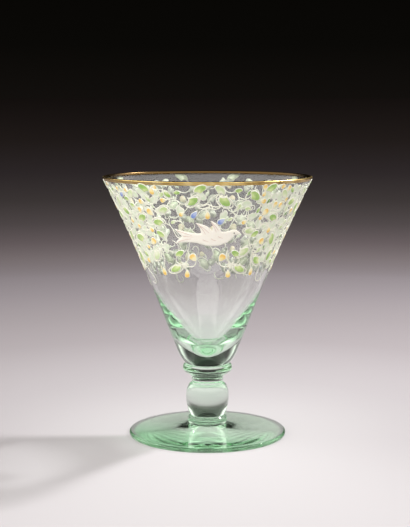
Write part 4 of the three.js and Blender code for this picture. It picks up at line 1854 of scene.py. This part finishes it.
@dataclass(frozen=True)
class EnamelDecoration:
    """The raised enamel round the bowl."""

    SPRAYS = ("enamel_crest_spray", "enamel_low_spray_left", "enamel_low_spray_right")

    glass: Object
    profile: GlassProfile

    def build(self) -> None:
        """Draws the decoration and lays it on the glass, one piece for each enamel."""
        sizes = EnamelSizes()
        layout = EnamelLayout(sizes, Filling(), self.profile)
        layout.garlands()
        layout.fill()
        painter = EnamelPainter(EnamelTrees(self.glass, self.profile, sizes), Palette())
        nodes = [*self.SPRAYS, *(f"enamel_garland_{i + 1}" for i in range(sizes.garland_count))]
        painter.strokes("ivory_scrolls", EnamelColour.IVORY, layout.lines, *nodes)
        for colour, drops in layout.drops.items():
            if drops:
                painter.drops(f"{colour.value}_drops", colour, drops)
        Bird(BirdSizes(), painter).build()


@dataclass(frozen=True)
class Camera:
    """Where the photograph was taken from, in millimetres and degrees."""

    aside: float = -1.4
    away: float = 719.0
    height: float = 188.4
    pitch: float = 7.07
    lens: float = 86.3
    sensor: float = 36.0
    nearest: float = 10.0
    farthest: float = 40000.0

    def build(self) -> None:
        """Makes the scene's camera."""
        data = bpy.data.cameras.new("camera")
        data.lens = self.lens
        data.sensor_width = self.sensor
        data.clip_start = mm(self.nearest)
        data.clip_end = mm(self.farthest)
        camera = new_object("camera", data)
        camera.location = (mm(self.aside), mm(-self.away), mm(self.height))
        camera.rotation_euler = (math.radians(90 - self.pitch), 0.0, 0.0)
        bpy.context.scene.camera = camera


@dataclass(frozen=True)
class Softbox:
    """A square or oblong studio light that faces the glass, in metres, degrees and watts.

    A light that isn't mirrored shows on matt surfaces alone, as behind a polarising film.
    """

    name: str
    azimuth: float
    elevation: float
    distance: float
    width: float
    height: float
    power: float
    aim_height: float = 0.07
    mirrored: bool = True

    def build(self) -> None:
        """Makes the light, unseen by the camera itself."""
        data = bpy.data.lights.new(self.name, "AREA")
        data.shape = "RECTANGLE"
        data.size = self.width
        data.size_y = self.height
        data.energy = self.power
        light = new_object(self.name, data)
        around, up = math.radians(self.azimuth), math.radians(self.elevation)
        flat = math.cos(up)
        towards = Vector((math.sin(around) * flat, -math.cos(around) * flat, math.sin(up)))
        light.location = towards * self.distance + Vector((0.0, 0.0, self.aim_height))
        light.rotation_euler = towards.to_track_quat("Z", "Y").to_euler()
        light.visible_camera = False
        light.visible_glossy = self.mirrored
        light.visible_transmission = self.mirrored


@dataclass(frozen=True)
class RoomLight:
    """A wide bright wall of light on the camera's side, dim at its foot, and a dark room behind.

    Heights are sines of the angle above the horizon. Sides are cosines of the angle from the camera's
    direction: 1 is the camera's own side and 0 is straight to the left or the right.
    """

    strength: float = 2.35
    back_strength: float = 1.9
    back_gap: Pair = (-0.85, -0.5)
    warmth: str = "#FFFCF8"
    dim_share: float = 0.22
    dim_low: Pair = (-0.05, 0.08)
    low: Pair = (0.2, 0.55)
    high: Pair = (0.8, 0.88)
    side: Pair = (-0.25, 0.3)
    back_low: Pair = (0.16, 0.25)
    dark_above: float = 0.12
    dark: Stops = ((0.0, "#13100E"), (0.4, "#0A0907"), (1.0, "#070604"))

    def light(self, add: Adder, up: Socket, forward: Socket) -> Node:
        """Adds the nodes that spread the light over the room.

        Args:
            add: The function that adds nodes.
            up: The upward part of the direction.
            forward: Its part away from the camera.

        Returns:
            The node with the light's strength in that direction.
        """
        squared = add("ShaderNodeMath", (up, up), operation="MULTIPLY")
        rest = add("ShaderNodeMath", (1.0, squared), operation="SUBTRACT")
        flat = add("ShaderNodeMath", (rest,), operation="SQRT")
        nearer = add("ShaderNodeMath", (forward, -1.0), operation="MULTIPLY")
        towards = add("ShaderNodeMath", (nearer, flat), operation="DIVIDE")
        dimmed, risen, over, back_risen = [
            add("ShaderNodeMapRange", (up, *ends), **SMOOTH)
            for ends in (self.dim_low, self.low, self.high, self.back_low)
        ]
        sided, gap = [
            add("ShaderNodeMapRange", (towards, *ends), **SMOOTH) for ends in (self.side, self.back_gap)
        ]
        under = add("ShaderNodeMath", (1.0, over), operation="SUBTRACT")
        ahead = add("ShaderNodeMath", (sided, under), operation="MULTIPLY")
        dim = add("ShaderNodeMath", (dimmed, self.dim_share), operation="MULTIPLY")
        rise = add("ShaderNodeMath", (risen, 1 - self.dim_share, dim), operation="MULTIPLY_ADD")
        front = add("ShaderNodeMath", (rise, ahead), operation="MULTIPLY")
        behind = add("ShaderNodeMath", (under, ahead), operation="SUBTRACT")
        aside = add("ShaderNodeMath", (behind, gap), operation="MULTIPLY")
        back = add("ShaderNodeMath", (back_risen, aside), operation="MULTIPLY")
        weak = add("ShaderNodeMath", (back, self.back_strength), operation="MULTIPLY")
        return add("ShaderNodeMath", (front, self.strength, weak), operation="MULTIPLY_ADD")

    def build(self) -> None:
        """Makes the world, where the camera itself sees only the dark room."""
        world = bpy.data.worlds.new("room")
        bpy.context.scene.world = world
        world.use_nodes = True
        world.node_tree.nodes.clear()
        add = partial(add_node, world.node_tree)
        place = add("ShaderNodeTexCoord").outputs["Generated"]
        parts = add("ShaderNodeSeparateXYZ", (place,)).outputs
        light = self.light(add, parts["Z"], parts["Y"])
        seen = add("ShaderNodeLightPath").outputs["Is Camera Ray"]
        unseen = add("ShaderNodeMath", (1.0, seen), operation="SUBTRACT")
        strength = add("ShaderNodeMath", (light, unseen), operation="MULTIPLY")
        wall = add("ShaderNodeBackground", (linear(self.warmth), strength))
        shade = add("ShaderNodeMapRange", (parts["Z"], 0.0, self.dark_above))
        ramp = set_ramp(add("ShaderNodeValToRGB", (shade,)), self.dark)
        dark = add("ShaderNodeBackground", (ramp, 1.0))
        add("ShaderNodeOutputWorld", {"Surface": add("ShaderNodeAddShader", (wall, dark))})


class Studio:
    """The floor, the room and its softboxes."""

    SOFTBOXES = (
        Softbox("key_light", 120.0, 45.0, 1.2, 0.1, 0.1, 13.5),
        Softbox("fill_light", -65.0, 8.0, 1.5, 1.0, 0.8, 13.5, mirrored=False),
    )
    FLOOR_DROP = 0.05
    PATH_LENGTH = 64

    def floor(self) -> None:
        """Lays the backdrop paper just under the glass."""
        paper = PaperSweep()
        mesh = paper.mesh()
        mesh.materials.append(paper.material())
        floor = new_object("floor", mesh)
        floor.location.z = -mm(self.FLOOR_DROP)

    def light_paths(self) -> None:
        """Lets light pass the many walls of the glass, without the noise of focused light."""
        cycles = bpy.context.scene.cycles
        for limit in ("max", "transmission", "glossy", "transparent_max"):
            setattr(cycles, f"{limit}_bounces", self.PATH_LENGTH)
        cycles.caustics_refractive = cycles.caustics_reflective = False

    def build(self) -> None:
        """Sets the stage and the view."""
        Camera().build()
        self.floor()
        RoomLight().build()
        for softbox in self.SOFTBOXES:
            softbox.build()
        self.light_paths()
        bpy.context.scene.view_settings.view_transform = "Standard"


def main() -> None:
    """Builds the glass, its gold and its enamel, and the studio round them."""
    logging.basicConfig(level=logging.INFO, format="%(name)s: %(message)s")
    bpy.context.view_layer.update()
    profile = GlassProfile(GlassSizes())
    turned = TurnedPieces(profile.sizes)
    glass = GlassBody(profile, turned, HandMadeGlass()).build()
    GiltLip(profile, turned, FiredGold()).build()
    EnamelDecoration(glass, profile).build()
    Studio().build()


if __name__ == "__main__":
    main()
